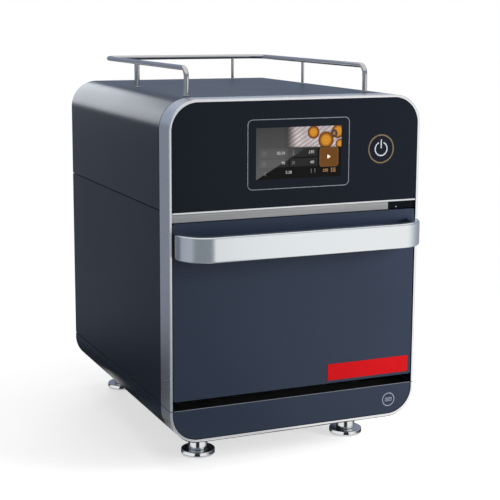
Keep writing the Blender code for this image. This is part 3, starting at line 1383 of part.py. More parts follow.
def make_door_handle():
    high = DOOR_TOP_Z - HANDLE_DROP
    low = high - HANDLE_HEIGHT
    half = HANDLE_HALF
    radius = HANDLE_END_RADIUS
    seat_y = DOOR_FRONT_Y - TOUCH_GAP
    front_y = FRONT_Y - HANDLE_REACH
    centre_y = front_y + radius
    left = arc((-half + radius, centre_y), radius, math.pi, math.pi + RIGHT_ANGLE, CORNER_STEPS)
    right = arc((half - radius, centre_y), radius, -RIGHT_ANGLE, 0, CORNER_STEPS)
    path = [(-half, seat_y)] + left + right + [(half, seat_y)]
    rows = [[(x, y, z) for x, y in path] for z in (low, high)]
    handle = sheet("door_handle", rows, HANDLE_THICKNESS, "satin_aluminium")
    bevel(handle, HANDLE_EDGE_RADIUS, 2)
    return handle


def make_hinge_arms():
    arms = []
    front = DOOR_FRONT_Y + SHEET + TOUCH_GAP
    rear = SKIN_REAR_Y
    low = DOOR_LOW_Z + SHEET + TOUCH_GAP
    pin_length = ARM_GAP + TONGUE_THICKNESS + SLIDE_GAP + ARM_THICKNESS
    for side, sign in SIDES.items():
        outline = rounded_loop(front, rear, low, low + ARM_HEIGHT, PIN_RADIUS, PIN_RADIUS)
        low_x = ARM_INNER_X if sign > 0 else -ARM_INNER_X - ARM_THICKNESS
        arm = plate("hinge_arm_" + side, [outline], low_x, ARM_THICKNESS, "sideways", "zinc_steel")
        start_x = ARM_INNER_X if sign > 0 else -ARM_INNER_X - pin_length
        pin = rod("hinge_pin_" + side, (start_x, HINGE_Y, HINGE_Z), pin_length, PIN_RADIUS, "x",
                  steps=ROD_STEPS)
        join(arm, pin)
        arms.append(arm)
    return arms


def make_latch_hooks():
    hooks = []
    middle = DOOR_TOP_Z - HOOK_DROP
    low = middle - HOOK_HEIGHT / 2
    high = middle + HOOK_HEIGHT / 2
    start = PAN_FACE_Y + TOUCH_GAP
    tip = start + HOOK_LENGTH
    nose = tip - HOOK_NOSE_LENGTH
    outline = [(start, low), (start, high), (nose, high), (nose, high + HOOK_NOSE_RISE),
               (tip, high), (tip, low)]
    for side, sign in SIDES.items():
        low_x = sign * HOOK_X - HOOK_THICKNESS / 2
        hooks.append(plate("latch_hook_" + side, [outline], low_x, HOOK_THICKNESS, "sideways",
                           "zinc_steel"))
    return hooks


def make_door():
    pieces = [make_door_skin(), make_door_insulation(), make_door_inner_pan(), make_door_seal(),
              make_door_handle()]
    pieces += make_hinge_arms()
    pieces += make_latch_hooks()
    hang_on("door_hinge_axis", (0, HINGE_Y, HINGE_Z), pieces)


def make_hinge_brackets():
    plate_rear = FLANGE_Y - TOUCH_GAP
    plate_front = plate_rear - BRACKET_PLATE_THICKNESS
    radius = TONGUE_RADIUS
    nose = arc((HINGE_Y, HINGE_Z), radius, math.pi + RIGHT_ANGLE, RIGHT_ANGLE, CORNER_STEPS)
    outline = nose + [(plate_rear, HINGE_Z + radius), (plate_rear, HINGE_Z - radius)]
    bore = circle(HINGE_Y, HINGE_Z, PIN_RADIUS + PIN_CLEARANCE, ROD_STEPS)
    for side, sign in SIDES.items():
        low_x = TONGUE_INNER_X if sign > 0 else -TONGUE_OUTER_X
        tongue = plate("hinge_bracket_" + side, [outline, bore], low_x, TONGUE_THICKNESS,
                       "sideways", "zinc_steel")
        middle_x = low_x + TONGUE_THICKNESS / 2
        half = BRACKET_PLATE_WIDTH / 2
        low = max(FLANGE_LOW_Z, HINGE_Z - BRACKET_PLATE_HEIGHT / 2)
        seat = box("bracket_seat_" + side, (middle_x - half, plate_front, low),
                   (middle_x + half, plate_rear, low + BRACKET_PLATE_HEIGHT))
        join(tongue, seat)


def make_interlock_switch():
    front = FLANGE_Y + THIN_SHEET + TOUCH_GAP
    middle = DOOR_TOP_Z - HOOK_DROP
    inner = HOOK_X - HOOK_SLOT_WIDTH / 2 - SLIDE_GAP
    low = (inner - INTERLOCK_WIDTH, front, middle - INTERLOCK_HEIGHT / 2)
    high = (inner, front + INTERLOCK_DEPTH, middle + INTERLOCK_HEIGHT / 2)
    body = box("interlock_switch", low, high, "black_plastic")
    bevel(body, FRAME_EDGE_RADIUS, 1)


# Lower front cover, with its part of the silver ring and the air filter

def make_lower_cover():
    outline = rounded_loop(-FACE_HALF, FACE_HALF, COVER_LOW_Z, COVER_TOP_Z, FACE_RADIUS,
                           COVER_TOP_RADIUS, CORNER_STEPS)
    front = DOOR_FRONT_Y
    rows = [at_depth(outline, front), at_depth(outline, front + COVER_RETURN)]
    cover = sheet("lower_front_cover", rows, SHEET, "paint", closed=True, cap_front=True)
    bevel(cover, COVER_EDGE_RADIUS, 1)
    outer = tray_path(HALF_WIDTH, UNDERSIDE_Z, COVER_TOP_Z, CORNER_RADIUS)
    inner = tray_path(HALF_WIDTH - FRAME_LIP, UNDERSIDE_Z + FRAME_LIP, COVER_TOP_Z,
                      CORNER_RADIUS - FRAME_LIP)
    rows = [at_depth(inner, FRONT_Y), at_depth(outer, FRONT_Y), at_depth(outer, FRAME_REAR_Y)]
    ring = sheet("lower_frame", rows, FRAME_SHEET, "satin_silver")
    bevel(ring, FRAME_EDGE_RADIUS, 1)
    return [cover, ring]


def make_air_filter():
    low = tray_floor_at(FILTER_LEFT_X) + SLIDE_GAP
    high = COVER_TOP_Z - SHEET - SLIDE_GAP
    front = FRONT_Y + FILTER_SETBACK
    rear = front + FILTER_THICKNESS
    windows = []
    span = FILTER_RIGHT_X - FILTER_LEFT_X - 2 * FILTER_BORDER
    pitch = (span + FILTER_BAR) / FILTER_COLUMNS
    for i in range(FILTER_COLUMNS):
        left = FILTER_LEFT_X + FILTER_BORDER + i * pitch
        windows.append(((left, front - CUT_OVERRUN, low + FILTER_BORDER),
                        (left + pitch - FILTER_BAR, rear + CUT_OVERRUN, high - FILTER_BORDER)))
    air_filter = box("air_filter", (FILTER_LEFT_X, front, low), (FILTER_RIGHT_X, rear, high),
                     "filter_mesh")
    cut(air_filter, boxes("filter_windows", windows))
    middle = (FILTER_LEFT_X + FILTER_RIGHT_X) / 2
    arm_front = DOOR_FRONT_Y + SHEET + TOUCH_GAP
    arm_rear = front + FILTER_BAR
    arm_low = high - FILTER_BORDER + TOUCH_GAP
    arms = []
    for sign in SIDES.values():
        x = middle + sign * FILTER_ARM_X
        arms.append(((x - FILTER_ARM_SIZE / 2, arm_front, arm_low),
                     (x + FILTER_ARM_SIZE / 2, arm_rear, high - TOUCH_GAP)))
    join(air_filter, boxes("filter_arms", arms))
    return air_filter


def make_lower_front():
    pieces = make_lower_cover() + [make_air_filter()]
    hang_on("lower_cover_slide", (0, FRONT_Y, UNDERSIDE_Z), pieces)


def make_port_socket():
    half = SOCKET_PLATE_WIDTH / 2
    rear = FRONT_Y + SOCKET_PLATE_SETBACK + SOCKET_PLATE_THICKNESS
    front = rear - SOCKET_PLATE_THICKNESS
    low = tray_floor_at(SOCKET_X + half) + TOUCH_GAP
    top = SOCKET_Z + SOCKET_HEIGHT
    bracket = box("port_socket", (SOCKET_X - half, front, low), (SOCKET_X + half, rear, top),
                  "black_plastic")
    half = SOCKET_WIDTH / 2
    body = box("socket_body",
               (SOCKET_X - half, front - SOCKET_DEPTH, SOCKET_Z - SOCKET_HEIGHT / 2),
               (SOCKET_X + half, front + SOCKET_PLATE_THICKNESS / 2, SOCKET_Z + SOCKET_HEIGHT / 2))
    join(bracket, body)
    half = SOCKET_PORT_WIDTH / 2
    port = box("socket_port",
               (SOCKET_X - half, front - SOCKET_DEPTH - CUT_OVERRUN, SOCKET_Z - SOCKET_PORT_HEIGHT / 2),
               (SOCKET_X + half, front - CUT_OVERRUN / 2, SOCKET_Z + SOCKET_PORT_HEIGHT / 2))
    cut(bracket, port)


# Feet

def make_feet():
    for place, (x, y) in FOOT_PLACES.items():
        length = SLEEVE_TOP_Z - SLEEVE_LOW_Z
        edge = SLEEVE_EDGE
        radius = SLEEVE_RADIUS
        profile = [(0, length), (radius - edge, length), (radius, length - edge), (radius, edge),
                   (radius - edge, 0), (SLEEVE_BORE_RADIUS, 0),
                   (SLEEVE_BORE_RADIUS, SLEEVE_BORE_DEPTH), (0, SLEEVE_BORE_DEPTH)]
        turned("foot_sleeve_" + place, profile, (x, y, SLEEVE_LOW_Z), "z", "polished_steel")
        top = PAD_HEIGHT + STUD_LENGTH
        edge = PAD_EDGE
        radius = PAD_RADIUS
        profile = [(0, top), (STUD_RADIUS, top), (STUD_RADIUS, PAD_HEIGHT),
                   (radius - edge, PAD_HEIGHT), (radius, PAD_HEIGHT - edge), (radius, edge),
                   (radius - edge, 0), (0, 0)]
        pad = turned("foot_pad_" + place, profile, (x, y, 0), "z", "polished_steel")
        hang_on("foot_axis_" + place, (x, y, 0), [pad])


# Gallery rail

def make_top_rail():
    seat = TOP_Z + TOUCH_GAP
    high = TOP_Z + RAIL_RISE
    front = FRONT_Y + RAIL_FRONT_INSET
    rear = REAR_Y - RAIL_REAR_INSET
    corners = [(-RAIL_X, front, seat), (-RAIL_X, front, high), (-RAIL_X, rear, high),
               (RAIL_X, rear, high), (RAIL_X, front, high), (RAIL_X, front, seat)]
    rail = tube("top_rail", filleted(corners, RAIL_BEND, BEND_STEPS), RAIL_RADIUS,
                "polished_steel", resolution=2)
    middle = FRONT_Y + RAIL_MIDDLE_INSET
    feet = [(-RAIL_X, middle), (RAIL_X, middle), (-RAIL_REAR_POST_X, rear), (RAIL_REAR_POST_X, rear)]
    ends = [(-RAIL_X, front), (RAIL_X, front)]
    posts = [(x, y, seat) for x, y in feet]
    join(rail, rods("rail_posts", posts, high - seat, POST_RADIUS, "z", HOLE_STEPS))
    bases = [(x, y, seat) for x, y in feet + ends]
    join(rail, rods("rail_bases", bases, POST_BASE_HEIGHT, POST_BASE_RADIUS, "z", ROD_STEPS))


def make_oven():
    make_top_cover()
    make_side_panels()
    make_base_tray()
    make_rear_panel()
    make_front_frame()
    make_control_glass()
    make_panel_trim()
    make_vent_strip()
    make_fascia_carrier()
    make_display_module()
    make_control_board()
    make_power_key()
    make_oven_cavity()
    make_insulation()
    make_jet_plate()
    make_fan_guard()
    make_catalyst()
    make_heating_coil()
    make_convection_fan()
    make_fan_motor()
    make_cooking_plate()
    make_waveguide()
    make_magnetron()
    make_mode_stirrer()
    make_stirrer_motor()
    make_component_shelf()
    make_power_inverter()
    make_mains_filter()
    make_cooling_fan()
    make_cable_gland()
    make_door()
    make_hinge_brackets()
    make_interlock_switch()
    make_lower_front()
    make_port_socket()
    make_feet()
    make_top_rail()


make_oven()
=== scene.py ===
import json
import math

import bmesh
import bpy
from mathutils import Matrix, Vector

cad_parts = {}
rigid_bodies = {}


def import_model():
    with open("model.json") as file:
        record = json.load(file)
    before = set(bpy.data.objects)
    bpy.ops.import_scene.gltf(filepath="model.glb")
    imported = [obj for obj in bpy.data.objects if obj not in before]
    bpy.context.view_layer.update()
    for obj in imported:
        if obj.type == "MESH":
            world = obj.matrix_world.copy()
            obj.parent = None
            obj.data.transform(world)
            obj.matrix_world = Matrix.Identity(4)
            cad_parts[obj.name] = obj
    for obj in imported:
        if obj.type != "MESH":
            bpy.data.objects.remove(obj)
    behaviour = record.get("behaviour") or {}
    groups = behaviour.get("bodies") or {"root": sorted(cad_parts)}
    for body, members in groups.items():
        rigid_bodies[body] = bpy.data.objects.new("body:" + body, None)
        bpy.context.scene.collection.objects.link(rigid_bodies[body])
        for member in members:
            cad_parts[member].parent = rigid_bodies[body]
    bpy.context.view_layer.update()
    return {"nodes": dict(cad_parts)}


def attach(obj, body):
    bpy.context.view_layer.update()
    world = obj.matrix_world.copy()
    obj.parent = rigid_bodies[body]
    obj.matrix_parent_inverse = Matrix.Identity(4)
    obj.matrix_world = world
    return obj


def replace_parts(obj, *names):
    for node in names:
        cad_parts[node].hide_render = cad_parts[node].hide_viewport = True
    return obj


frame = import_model()
cadNodes = frame["nodes"]
print("frame loaded, %d CAD nodes" % len(cadNodes))

# Sizes that many pieces share, in metres
casing = {
    "half": 0.210, "underside": 0.050, "top": 0.570, "radius": 0.046,
    "frontY": -0.2395, "rearY": 0.2765, "coversY": -0.1965, "ringRearY": -0.1975,
    "lowSeam": 0.103, "highSeam": 0.403, "seamGap": 0.001, "fold": 0.010,
    "sheet": 0.0015, "edge": 0.0004, "foldRadius": 0.0012, "steps": 24, "foldSteps": 4,
    # Distances from the bend, on the wall, of the fold's last point and the bend's first point
    "hoodClears": (0.010, 0.001), "trayClears": (0.001, 0.0005),
    # The two halves of an outline have their last points this far apart, on the flat
    "halfGap": 0.001,
}
# Edges steeper than this stay sharp
sharpAngle = math.radians(32)


# Outlines

def around(x, z, radius, angle):
    return (x + radius * math.cos(angle), z + radius * math.sin(angle))


def filletLine(points, radii, steps=8, closed=False):
    result = []
    count = len(points)
    for i, point in enumerate(points):
        radius = radii[i] if isinstance(radii, (list, tuple)) else radii
        here = Vector(point)
        if radius <= 0 or (not closed and i in (0, count - 1)):
            result.append(here)
            continue
        before = (Vector(points[i - 1]) - here).normalized()
        after = (Vector(points[(i + 1) % count]) - here).normalized()
        opening = before.angle(after)
        reach = radius / math.tan(opening / 2)
        centre = here + (before + after).normalized() * radius / math.sin(opening / 2)
        start = here + before * reach - centre
        end = here + after * reach - centre
        sweep = math.pi - opening
        for k in range(steps + 1):
            t = k / steps
            mix = (math.sin((1 - t) * sweep) * start + math.sin(t * sweep) * end) / math.sin(sweep)
            result.append(centre + mix)
    return result


def circleLine(x, z, radius, steps=48, start=0.0, end=2 * math.pi, closed=True):
    span = steps if closed else steps + 1
    return [Vector(around(x, z, radius, start + (end - start) * i / steps)) for i in range(span)]


def boxLine(x0, x1, z0, z1, radius=0.0, steps=6):
    return filletLine([(x0, z0), (x1, z0), (x1, z1), (x0, z1)], radius, steps, closed=True)


def archLine(half, foot, crown, radius, steps, side=-1):
    # An open arch with two round corners, from the foot on the given side to the other foot.
    x = half * side
    return filletLine([(x, foot), (x, crown), (-x, crown), (-x, foot)], [0, radius, radius, 0], steps)


def edgeArc(radius, height, edge, start, end, steps=4):
    # Points of a rounded rim round (radius, height), by angle in degrees.
    return [around(radius, height, edge, math.radians(start + (end - start) * i / steps))
            for i in range(steps + 1)]


def mitres(path, side, closed):
    # Inward direction at each point, longer in the corners so that walls keep their thickness.
    result = []
    count = len(path)
    for i, here in enumerate(path):
        sides = []
        for a, b in ((i - 1, i), (i, i + 1)):
            if not closed and (a < 0 or b >= count):
                continue
            step = (path[b % count] - path[a % count]).normalized()
            sides.append(Vector((step.y, -step.x)) * side)
        total = sum(sides, Vector((0, 0))).normalized()
        result.append(total / max(total.dot(sides[0]), 0.2))
    return result


# Mesh makers

def addObject(name, data):
    obj = bpy.data.objects.new(name, data)
    bpy.context.scene.collection.objects.link(obj)
    return obj


def addPiece(mesh, body, material, weighted=True):
    # A piece takes its name from its mesh.
    obj = addObject(mesh.name, mesh)
    mesh.validate()
    for face in mesh.polygons:
        face.use_smooth = True
    mesh.set_sharp_from_angle(angle=sharpAngle)
    if weighted:
        normals = obj.modifiers.new("evenShading", "WEIGHTED_NORMAL")
        normals.keep_sharp = True
        normals.weight = 80
    mesh.materials.append(material)
    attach(obj, body)
    return obj


def cleanMesh(mesh, flatAngle=0.0):
    # Joins doubles, turns faces outward, and merges faces that meet at less than the angle.
    bm = bmesh.new()
    bm.from_mesh(mesh)
    bmesh.ops.remove_doubles(bm, verts=bm.verts, dist=1e-6)
    if flatAngle:
        bmesh.ops.dissolve_limit(bm, angle_limit=flatAngle, verts=bm.verts, edges=bm.edges)
    bmesh.ops.recalc_face_normals(bm, faces=bm.faces)
    bm.to_mesh(mesh)
    bm.free()
    return mesh


def meshFrom(name, verts, faces, finishes=None):
    mesh = bpy.data.meshes.new(name)
    mesh.from_pydata([tuple(v) for v in verts], [], faces)
    if finishes:
        mesh.polygons.foreach_set("material_index", finishes)
    return cleanMesh(mesh)


def gridFaces(rows, width, closed=False, capped=True):
    # Faces between rows of points that each run round in a ring.
    faces = []
    for i in range(rows if closed else rows - 1):
        near, far = i * width, (i + 1) % rows * width
        for j in range(width):
            k = (j + 1) % width
            faces.append((near + j, near + k, far + k, far + j))
    if capped:
        faces += [tuple(range(width)), tuple(range((rows - 1) * width, rows * width))]
    return faces


def sweepMesh(name, path, section, place, side=1, closed=False, hiddenSides=(), endFinish=0):
    # The section's points are (inset from the path, position across it).
    verts = []
    for here, direction in zip(path, mitres(path, side, closed)):
        verts += [place(here + direction * inset, across) for inset, across in section]
    rows, width = len(path), len(section)
    finishes = [int(j in hiddenSides) for j in range(width)] * (rows if closed else rows - 1)
    if not closed:
        finishes += [endFinish, endFinish]
    return meshFrom(name, verts, gridFaces(rows, width, closed, not closed), finishes)


def upright(point, across):
    return Vector((point.x, across, point.y))


def level(point, across):
    return Vector((point.x, point.y, across))


def panMesh(name, outline, rings, side):
    # A closed body from one outline: rings of (inset, y), with its first and last ring filled.
    inward = mitres(outline, side, True)
    verts = [upright(p + d * inset, y) for inset, y in rings for p, d in zip(outline, inward)]
    return meshFrom(name, verts, gridFaces(len(rings), len(outline)))


def curveMesh(curve):
    holder = addObject("curveHolder", curve)
    bpy.context.view_layer.update()
    shape = holder.evaluated_get(bpy.context.evaluated_depsgraph_get())
    mesh = bpy.data.meshes.new_from_object(shape)
    bpy.data.objects.remove(holder)
    mesh.materials.clear()
    return mesh


def plateMesh(name, loops, frontY, thickness, edge=0.0, along="y"):
    # Flat plate with holes, from a filled curve.
    curve = bpy.data.curves.new(name + "Curve", "CURVE")
    curve.dimensions = "2D"
    curve.fill_mode = "BOTH"
    curve.extrude = max(thickness / 2 - edge, 0.0)
    curve.bevel_depth = edge
    curve.bevel_resolution = 2
    curve.offset = -edge
    for loop in loops:
        spline = curve.splines.new("POLY")
        spline.points.add(len(loop) - 1)
        for point, place in zip(spline.points, loop):
            point.co = (place.x, place.y, 0, 1)
        spline.use_cyclic_u = True
    mesh = curveMesh(curve)
    mesh.name = name
    middle = frontY + thickness / 2
    for vertex in mesh.vertices:
        x, z, y = vertex.co
        vertex.co = (x, middle + y, z) if along == "y" else (x, z, middle + y)
    return cleanMesh(mesh, math.radians(0.5))


def turnedMesh(name, profile, centre, axis="z", steps=48):
    # The profile's points are (radius, height along the axis).
    verts = []
    for radius, height in profile:
        for i in range(steps):
            a, b = around(0, 0, radius, 2 * math.pi * i / steps)
            offset = (a, b, height) if axis == "z" else (a, height, b)
            verts.append(Vector(centre) + Vector(offset))
    capped = profile[0][0] > 0 and profile[0] != profile[-1]
    return meshFrom(name, verts, gridFaces(len(profile), steps, capped=capped))


def tubeMesh(name, points, radius, sides):
    verts = []
    ahead = (points[1] - points[0]).normalized()
    across = ahead.orthogonal().normalized()
    for i, here in enumerate(points):
        before = (here - points[i - 1]).normalized() if i else ahead
        after = (points[i + 1] - here).normalized() if i + 1 < len(points) else before
        ahead = (before + after).normalized()
        across = (across - ahead * across.dot(ahead)).normalized()
        other = ahead.cross(across)
        for j in range(sides):
            angle = 2 * math.pi * j / sides
            verts.append(here + (across * math.cos(angle) + other * math.sin(angle)) * radius)
    return meshFrom(name, verts, gridFaces(len(points), sides))


def joinMeshes(name, meshes):
    bm = bmesh.new()
    for mesh in meshes:
        bm.from_mesh(mesh)
        bpy.data.meshes.remove(mesh)
    joined = bpy.data.meshes.new(name)
    bm.to_mesh(joined)
    bm.free()
    return joined


# Shader node groups

def feed(tree, target, value):
    if isinstance(value, bpy.types.NodeSocket):
        tree.links.new(value, target)
    else:
        target.default_value = value


def addNode(tree, kind, links, **settings):
    node = tree.nodes.new("ShaderNode" + kind)
    for key, value in settings.items():
        setattr(node, key, value)
    for socket, source in links.items():
        feed(tree, node.inputs[socket], source)
    return node


def mathNode(tree, operation, *values):
    return addNode(tree, "Math", dict(enumerate(values)), operation=operation).outputs[0]


def vectorNode(tree, operation, links):
    return addNode(tree, "VectorMath", links, operation=operation).outputs[0]


def mapRange(tree, value, low, high, outLow=0.0, outHigh=1.0, smooth=False):
    return addNode(tree, "MapRange", {0: value, 1: low, 2: high, 3: outLow, 4: outHigh},
                   interpolation_type="SMOOTHSTEP" if smooth else "LINEAR").outputs[0]


def noise(tree, vector, scale, detail, roughness=0.5, distortion=0.0):
    return addNode(tree, "TexNoise", {"Vector": vector, "Scale": scale, "Detail": detail,
                                      "Roughness": roughness, "Distortion": distortion}).outputs


def objectCoords(tree):
    return addNode(tree, "TexCoord", {}).outputs["Object"]


def lengthNode(tree, across, down):
    squares = [mathNode(tree, "MULTIPLY", side, side) for side in (across, down)]
    return mathNode(tree, "SQRT", mathNode(tree, "ADD", *squares))


def newGroup(name, inputs, outputs):
    # An input is a number, or a vector where its value is a tuple. All outputs are numbers.
    group = bpy.data.node_groups.new(name, "ShaderNodeTree")
    for label, value in inputs.items():
        kind = "NodeSocketVector" if isinstance(value, tuple) else "NodeSocketFloat"
        group.interface.new_socket(label, in_out="INPUT", socket_type=kind).default_value = value
    for label in outputs:
        group.interface.new_socket(label, in_out="OUTPUT", socket_type="NodeSocketFloat")
    given = group.nodes.new("NodeGroupInput").outputs
    made = group.nodes.new("NodeGroupOutput").inputs
    return group, given, made


def makeGrainGroup():
    # Powder-coat peel: a fine bump and a cloudy tone.
    group, given, made = newGroup("paintGrain", {"Peel Scale": 900.0, "Cloud Scale": 9.0,
                                                 "Tone Spread": 0.08}, ["Height", "Tone"])
    coords = objectCoords(group)
    peel = noise(group, coords, given["Peel Scale"], 3.0, 0.55)["Fac"]
    speck = addNode(group, "TexVoronoi", {"Vector": coords, "Scale": given["Peel Scale"]})
    cloud = noise(group, coords, given["Cloud Scale"], 4.0, 0.6)["Fac"]
    height = mathNode(group, "ADD", mathNode(group, "MULTIPLY", peel, 0.7),
                      mathNode(group, "MULTIPLY", speck.outputs["Distance"], 0.3))
    spread = mathNode(group, "MULTIPLY", mathNode(group, "SUBTRACT", cloud, 0.5), given["Tone Spread"])
    group.links.new(height, made["Height"])
    group.links.new(mathNode(group, "ADD", spread, 1.0), made["Tone"])
    return group


def makeBrushedGroup():
    # Lines drawn out along one axis: the smallest of the three scales lies along the lines.
    group, given, made = newGroup("brushedLines", {"Stretch": (3.0, 900.0, 900.0), "Contrast": 0.5},
                                  ["Lines", "Height"])
    stretched = vectorNode(group, "MULTIPLY", {0: objectCoords(group), 1: given["Stretch"]})
    fine = noise(group, stretched, 1.0, 4.0, 0.65)["Fac"]
    centred = mathNode(group, "SUBTRACT", fine, 0.5)
    lines = mathNode(group, "MULTIPLY_ADD", centred, given["Contrast"], 1.0)
    group.links.new(lines, made["Lines"])
    group.links.new(fine, made["Height"])
    return group


def makeSmudgeGroup():
    # Handling marks: broad dull patches and a few fine scratches.
    group, given, made = newGroup("handlingMarks", {
        "Patch Scale": 14.0, "Scratch Scale": 220.0, "Base": 0.3, "Patch Amount": 0.05,
        "Scratch Amount": 0.08}, ["Roughness"])
    coords = objectCoords(group)
    patch = noise(group, coords, given["Patch Scale"], 5.0, 0.6, 0.4)["Fac"]
    bent = noise(group, coords, 12.0, 1.0)["Color"]
    shifted = vectorNode(group, "ADD", {0: coords, 1: bent})
    cells = addNode(group, "TexVoronoi", {"Vector": shifted, "Scale": given["Scratch Scale"]},
                    feature="DISTANCE_TO_EDGE")
    scratch = mapRange(group, cells.outputs["Distance"], 0.012, 0.0)
    scratches = mathNode(group, "MULTIPLY", scratch, mapRange(group, patch, 0.58, 0.66))
    patches = mathNode(group, "MULTIPLY_ADD", patch, given["Patch Amount"], given["Base"])
    total = mathNode(group, "MULTIPLY_ADD", scratches, given["Scratch Amount"], patches)
    group.links.new(total, made["Roughness"])
    return group


# Height over width of the lit screen
screenAspect = 0.5455


def makeTileGroup():
    # Mask of a rounded rectangle in the screen's own 0 to 1 coordinates.
    group, given, made = newGroup("screenTile", {
        "U": 0.0, "V": 0.0, "Left": 0.0, "Right": 1.0, "Top": 0.0, "Bottom": 1.0, "Corner": 0.02},
        ["Mask"])

    def beyond(value, low, high, stretch):
        middle = mathNode(group, "MULTIPLY", mathNode(group, "ADD", low, high), 0.5)
        half = mathNode(group, "MULTIPLY", mathNode(group, "SUBTRACT", high, low), 0.5)
        away = mathNode(group, "ABSOLUTE", mathNode(group, "SUBTRACT", value, middle))
        reach = mathNode(group, "SUBTRACT", away, half)
        scaled = mathNode(group, "MULTIPLY_ADD", reach, stretch, given["Corner"])
        return mathNode(group, "MAXIMUM", scaled, 0.0)

    length = lengthNode(group, beyond(given["U"], given["Left"], given["Right"], 1.0),
                        beyond(given["V"], given["Top"], given["Bottom"], screenAspect))
    excess = mathNode(group, "SUBTRACT", length, given["Corner"])
    group.links.new(mapRange(group, excess, 0.002, -0.002), made["Mask"])
    return group


def makeRoundGroup():
    # A disc in the screen's coordinates: its mask, and the distance from its middle in radii.
    group, given, made = newGroup("screenRound", {
        "U": 0.0, "V": 0.0, "Left": 0.5, "Top": 0.5, "Radius": 0.1}, ["Mask", "Depth"])
    across = mathNode(group, "SUBTRACT", given["U"], given["Left"])
    down = mathNode(group, "MULTIPLY", mathNode(group, "SUBTRACT", given["V"], given["Top"]),
                    screenAspect)
    depth = mathNode(group, "DIVIDE", lengthNode(group, across, down), given["Radius"])
    group.links.new(depth, made["Depth"])
    group.links.new(mapRange(group, depth, 1.05, 0.95), made["Mask"])
    return group


grainGroup = makeGrainGroup()
brushedGroup = makeBrushedGroup()
smudgeGroup = makeSmudgeGroup()
tileGroup = makeTileGroup()
roundGroup = makeRoundGroup()
print("shader groups built")


# Materials

def newMaterial(name, colour, roughness, metallic=0.0, specular=0.5):
    material = bpy.data.materials.new(name)
    material.use_nodes = True
    shader = material.node_tree.nodes["Principled BSDF"]
    shader.inputs["Base Color"].default_value = (*colour, 1.0)
    shader.inputs["Roughness"].default_value = roughness
    shader.inputs["Metallic"].default_value = metallic
    shader.inputs["Specular IOR Level"].default_value = specular
    material.diffuse_color = (*colour, 1.0)
    return material, material.node_tree, shader


def useGroup(tree, group, **values):
    node = tree.nodes.new("ShaderNodeGroup")
    node.node_tree = group
    for label, value in values.items():
        feed(tree, node.inputs[label.replace("_", " ")], value)
    return node.outputs


def connect(tree, shader, **sources):
    for label, source in sources.items():
        tree.links.new(source, shader.inputs[label.replace("_", " ")])


def tint(tree, colour, factor):
    return vectorNode(tree, "SCALE", {0: colour, "Scale": factor})


def bumpInto(tree, shader, height, strength, distance):
    bump = addNode(tree, "Bump", {"Height": height, "Strength": strength, "Distance": distance})
    connect(tree, shader, Normal=bump.outputs["Normal"])


def paintMaterial(name, colour, roughness, peel=1400.0, strength=0.15, specular=0.4):
    material, tree, shader = newMaterial(name, colour, roughness, 0.0, specular)
    grain = useGroup(tree, grainGroup, Peel_Scale=peel, Cloud_Scale=7.0, Tone_Spread=0.16)
    marks = useGroup(tree, smudgeGroup, Patch_Scale=9.0, Scratch_Scale=60.0, Base=roughness - 0.03,
                     Patch_Amount=0.06, Scratch_Amount=0.03)
    connect(tree, shader, Base_Color=tint(tree, colour, grain["Tone"]), Roughness=marks["Roughness"])
    bumpInto(tree, shader, grain["Height"], strength, 0.0001)
    return material


def metalMaterial(name, colour, roughness, stretch=None, contrast=0.3, bump=0.05, patch=0.05,
                  scratch=0.08):
    material, tree, shader = newMaterial(name, colour, roughness, 1.0)
    dullness = useGroup(tree, smudgeGroup, Patch_Scale=16.0, Scratch_Scale=140.0,
                        Base=roughness - patch / 2, Patch_Amount=patch,
                        Scratch_Amount=scratch)["Roughness"]
    if stretch:
        lines = useGroup(tree, brushedGroup, Stretch=stretch, Contrast=contrast)
        uneven = min(0.10, contrast * 0.5)
        spread = mathNode(tree, "MULTIPLY_ADD", lines["Height"], uneven, -uneven / 2)
        dullness = mathNode(tree, "ADD", dullness, spread)
        tone, height, depth = lines["Lines"], lines["Height"], 0.0001
    else:
        grain = useGroup(tree, grainGroup, Peel_Scale=400.0, Cloud_Scale=12.0, Tone_Spread=0.08)
        tone, height, depth = grain["Tone"], grain["Height"], 0.00005
    connect(tree, shader, Base_Color=tint(tree, colour, tone), Roughness=dullness)
    bumpInto(tree, shader, height, bump, depth)
    return material


def glassMaterial(name, colour, specular):
    material, tree, shader = newMaterial(name, colour, 0.06, 0.0, specular)
    marks = useGroup(tree, smudgeGroup, Patch_Scale=7.0, Scratch_Scale=30.0, Base=0.03,
                     Patch_Amount=0.06, Scratch_Amount=0.04)
    grain = useGroup(tree, grainGroup, Peel_Scale=60.0, Cloud_Scale=3.0, Tone_Spread=0.10)
    connect(tree, shader, Base_Color=tint(tree, colour, grain["Tone"]), Roughness=marks["Roughness"])
    return material


def printMaterial(name, colour, glow=0.0):
    # Screen-printed ink, a little uneven.
    material, tree, shader = newMaterial(name, colour, 0.5, 0.0, 0.05)
    grain = useGroup(tree, grainGroup, Peel_Scale=1500.0, Cloud_Scale=40.0, Tone_Spread=0.10)
    inked = tint(tree, colour, grain["Tone"])
    connect(tree, shader, Base_Color=inked)
    if glow:
        connect(tree, shader, Emission_Color=inked)
        shader.inputs["Emission Strength"].default_value = glow
    return material


